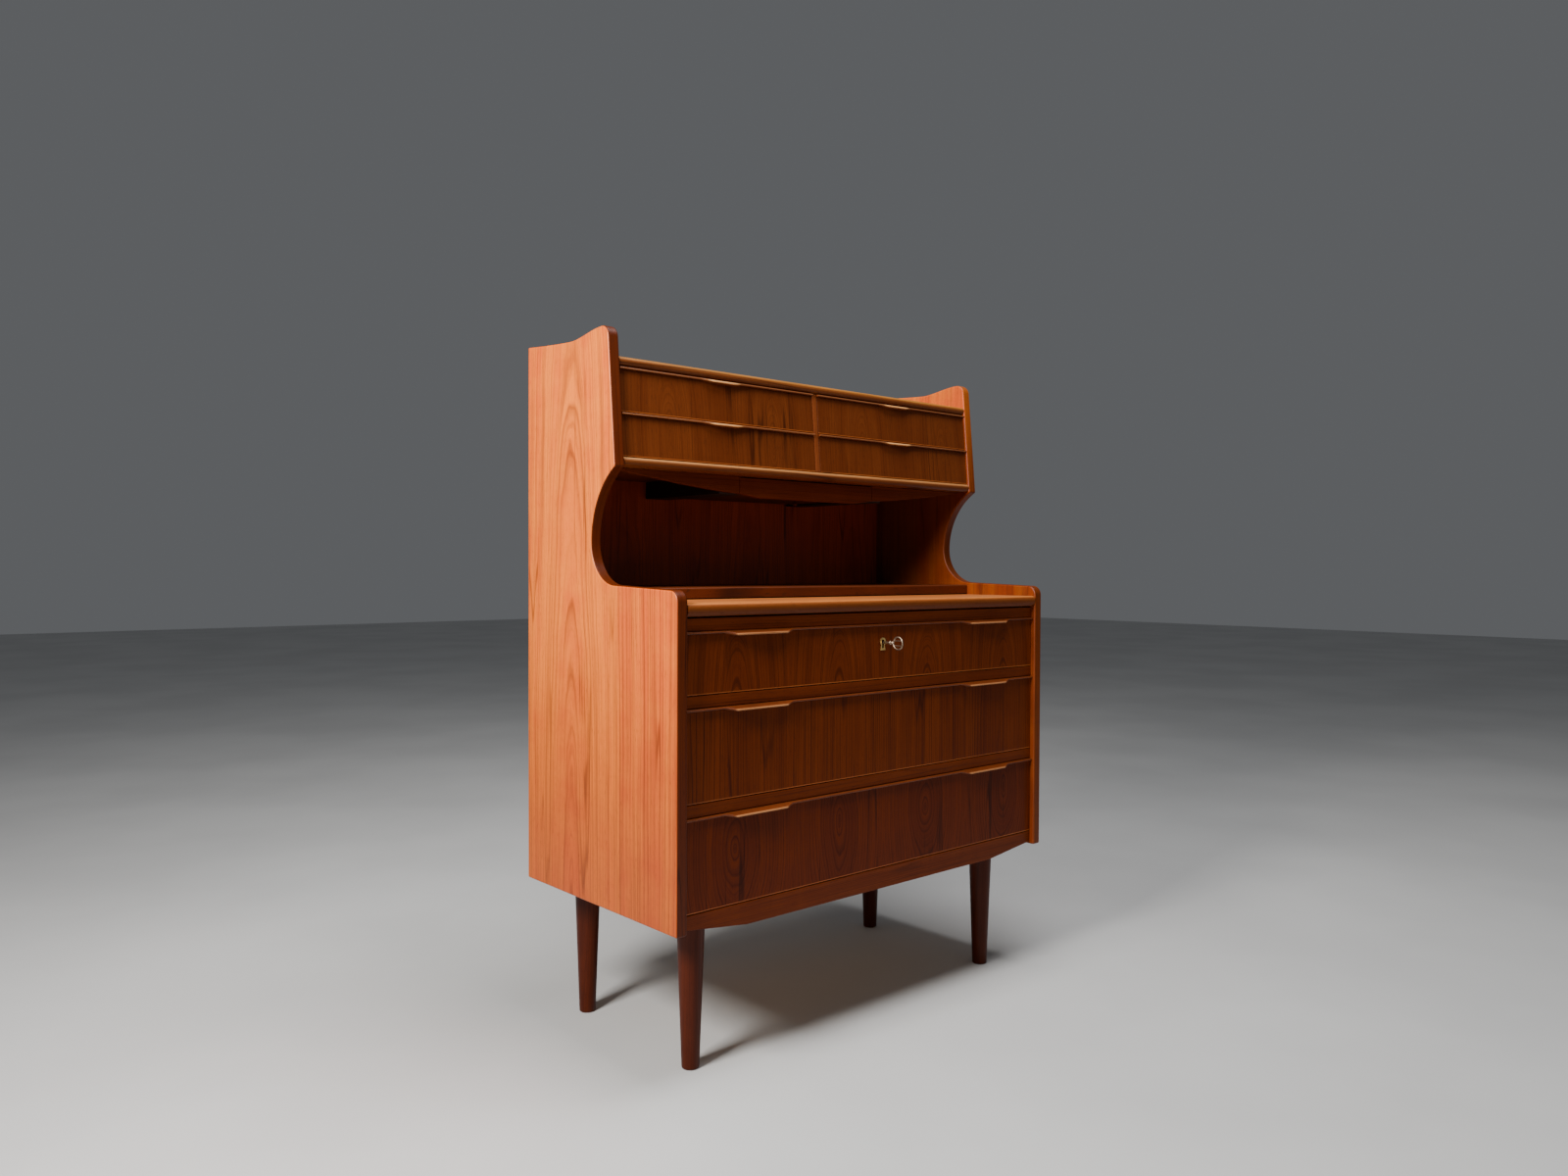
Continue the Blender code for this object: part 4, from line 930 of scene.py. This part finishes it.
def cut_lock(front):
    """Cuts the room for the lock's case, and the keyhole, out of a front."""
    low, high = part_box("lock_case")
    case_x = (low.x - TINY, high.x + TINY)
    case_y = (low.y - TINY, high.y + CASE_CUT_BACK)
    case_z = (low.z - TINY, high.z + CASE_CUT_UP)
    cut(front, block(case_x, case_y, case_z))
    hole_y = (FRONT_FACE - HOLE_CUT_OUT, low.y + HOLE_CUT_IN)
    cut(front, loft([[(x, y, z) for x, z in keyhole(*FRONT_KEYHOLE)] for y in hole_y]))


def make_lock():
    for name, material in (("lock_case", nickel), ("strike_plate", nickel), ("lock_bolt", brass)):
        finish_node(name, material, METAL_EDGE)
    low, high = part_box("escutcheon")
    outer = keyhole(PLATE_R, PLATE_HALF, low.z, HOLE_Z, PLATE_FOOT_HALF)
    inner = keyhole(*FRONT_KEYHOLE)
    middle = [((a[0] + b[0]) / 2, (a[1] + b[1]) / 2) for a, b in zip(outer, inner)]
    bevel_y = low.y + PLATE_BEVEL
    rims = ((outer, high.y), (outer, bevel_y), (middle, low.y), (inner, bevel_y), (inner, high.y))
    shape = loft([[(x, y, z) for x, z in outline] for outline, y in rims], join_ends=True)
    plate = new_piece("escutcheon_rim", shape, brass, "drawer_top", "brass", "escutcheon")
    smooth(plate, 45.0)


def key_piece(name, shape):
    return new_piece(name, shape, nickel, "key", "steel", "key")


def bow_loop(around, bow_y):
    """One loop round the bow's wire, at an angle round the bow."""
    loop = []
    for turn in angles(20):
        reach = BOW_R + BOW_WIRE_R * math.cos(turn)
        x = BOW_WIRE_R * BOW_SLIM * math.sin(turn)
        loop.append((x, bow_y + reach * math.cos(around), KEY_Z + reach * math.sin(around)))
    return loop


def make_key():
    """A small furniture key: ring bow with two bars, collared shaft and a bit."""
    low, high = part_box("key")
    bow_y = low.y + BOW_R + BOW_WIRE_R
    loops = [bow_loop(around, bow_y) for around in angles(64)]
    smooth(key_piece("key_bow", loft(loops, join_ends=True)), 60.0)

    start = bow_y + BOW_R - SHAFT_IN_BOW
    profile = [(radius, start + along) for radius, along in SHAFT_TURNINGS]
    profile += [(SHAFT_R, high.y - SHAFT_TIP), (SHAFT_TIP_R, high.y)]
    smooth(key_piece("key_shaft", turned(profile, (0.0, KEY_Z), "Y", 32)), 50.0)

    half = math.sqrt(BOW_R**2 - BAR_OFF**2)
    profile = [(BAR_END_R, bow_y - half), (BAR_MIDDLE_R, bow_y), (BAR_END_R, bow_y + half)]
    for label, z in (("upper", KEY_Z + BAR_OFF), ("lower", KEY_Z - BAR_OFF)):
        smooth(key_piece("key_bar_" + label, turned(profile, (0.0, z), "Y", 16)), 60.0)

    bit_y = [high.y - back for back in BIT_FROM_TIP]
    bit_z = [KEY_Z - below for below in BIT_BELOW]
    rounded(key_piece("key_bit", block((-BIT_HALF, BIT_HALF), bit_y, bit_z)), BIT_ROUND, 2)


# ---------------------------------------------------------------- tray
def make_tray():
    finish_node("tray_front", rail_teak, TRAY_FRONT_EDGE)
    finish_node("tray_box", tray_wood, TRAY_EDGE)
    low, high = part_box("tray_knob")
    profile = [(radius, low.z + z) for radius, z in KNOB_TURNINGS]
    neck = profile[-1][0]
    shape = turned(profile + [(neck, high.z)], (0.0, (low.y + high.y) / 2), "Z", 32)
    knob = new_piece("tray_knob_turned", shape, leg_teak, "tray", "front_teak", "tray_knob")
    smooth(knob, 60.0)


# ---------------------------------------------------------------- studio
FLOOR_HALF = 14.0
CAMERA_PLACE = (-1.43499, -1.54863, 0.79329)
CAMERA_YAW, CAMERA_PITCH, CAMERA_ROLL = 41.62, -1.0055, 0.2277  # degrees; yaw from +Y towards +X
LENS, SENSOR = 25.88, 36.0  # millimetres


def make_floor():
    shape = bmesh.new()
    bmesh.ops.create_grid(shape, x_segments=1, y_segments=1, size=FLOOR_HALF)
    floor = new_piece("floor", shape, floor_material(), None, None)


def aim(obj, place, target):
    obj.location = place
    obj.rotation_euler = (Vector(target) - Vector(place)).to_track_quat("-Z", "Y").to_euler()


def make_light(name, place, target, size, power, colour=(1.0, 1.0, 1.0)):
    data = bpy.data.lights.new(name, "AREA")
    data.size = size
    data.energy = power
    data.color = colour
    light = bpy.data.objects.new(name, data)
    bpy.context.scene.collection.objects.link(light)
    aim(light, place, target)


def make_world(colour, strength):
    world = bpy.data.worlds.new("studio")
    world.use_nodes = True
    background = world.node_tree.nodes["Background"]
    background.inputs["Color"].default_value = (*colour, 1.0)
    background.inputs["Strength"].default_value = strength
    bpy.context.scene.world = world


def make_camera():
    """The camera stands left of the desk and a little above its leaf, and looks almost level."""
    yaw, pitch, roll = (math.radians(angle) for angle in (CAMERA_YAW, CAMERA_PITCH, CAMERA_ROLL))
    level = math.cos(pitch)
    forward = Vector((math.sin(yaw) * level, math.cos(yaw) * level, math.sin(pitch)))
    right = Vector((math.cos(yaw), -math.sin(yaw), 0.0))
    up = right.cross(forward)
    rolled_right = right * math.cos(roll) + up * math.sin(roll)
    rolled_up = up * math.cos(roll) - right * math.sin(roll)
    data = bpy.data.cameras.new("camera")
    data.lens = LENS
    data.sensor_width = SENSOR
    camera = bpy.data.objects.new("camera", data)
    bpy.context.scene.collection.objects.link(camera)
    turn = Matrix((rolled_right, rolled_up, -forward)).transposed()
    camera.matrix_world = Matrix.Translation(CAMERA_PLACE) @ turn.to_4x4()
    bpy.context.scene.camera = camera


def make_studio():
    make_floor()
    make_world(colour=(0.80, 0.83, 0.87), strength=0.14)
    make_light(
        "key_light", place=(-1.9, -0.345, 1.62), target=(-0.2, -0.05, 0.75), size=0.55, power=74.0,
        colour=(1.0, 0.97, 0.93),
    )
    make_light("top_light", place=(0.1, -0.55, 3.3), target=(0.0, 0.0, 0.7), size=1.3, power=85.0)
    make_camera()


make_studio()
make_sides()
make_bank_boards()
make_leaf()
make_rails()
make_niche_back()
make_inside()
make_legs()
make_drawers()
make_lock()
make_key()
make_tray()
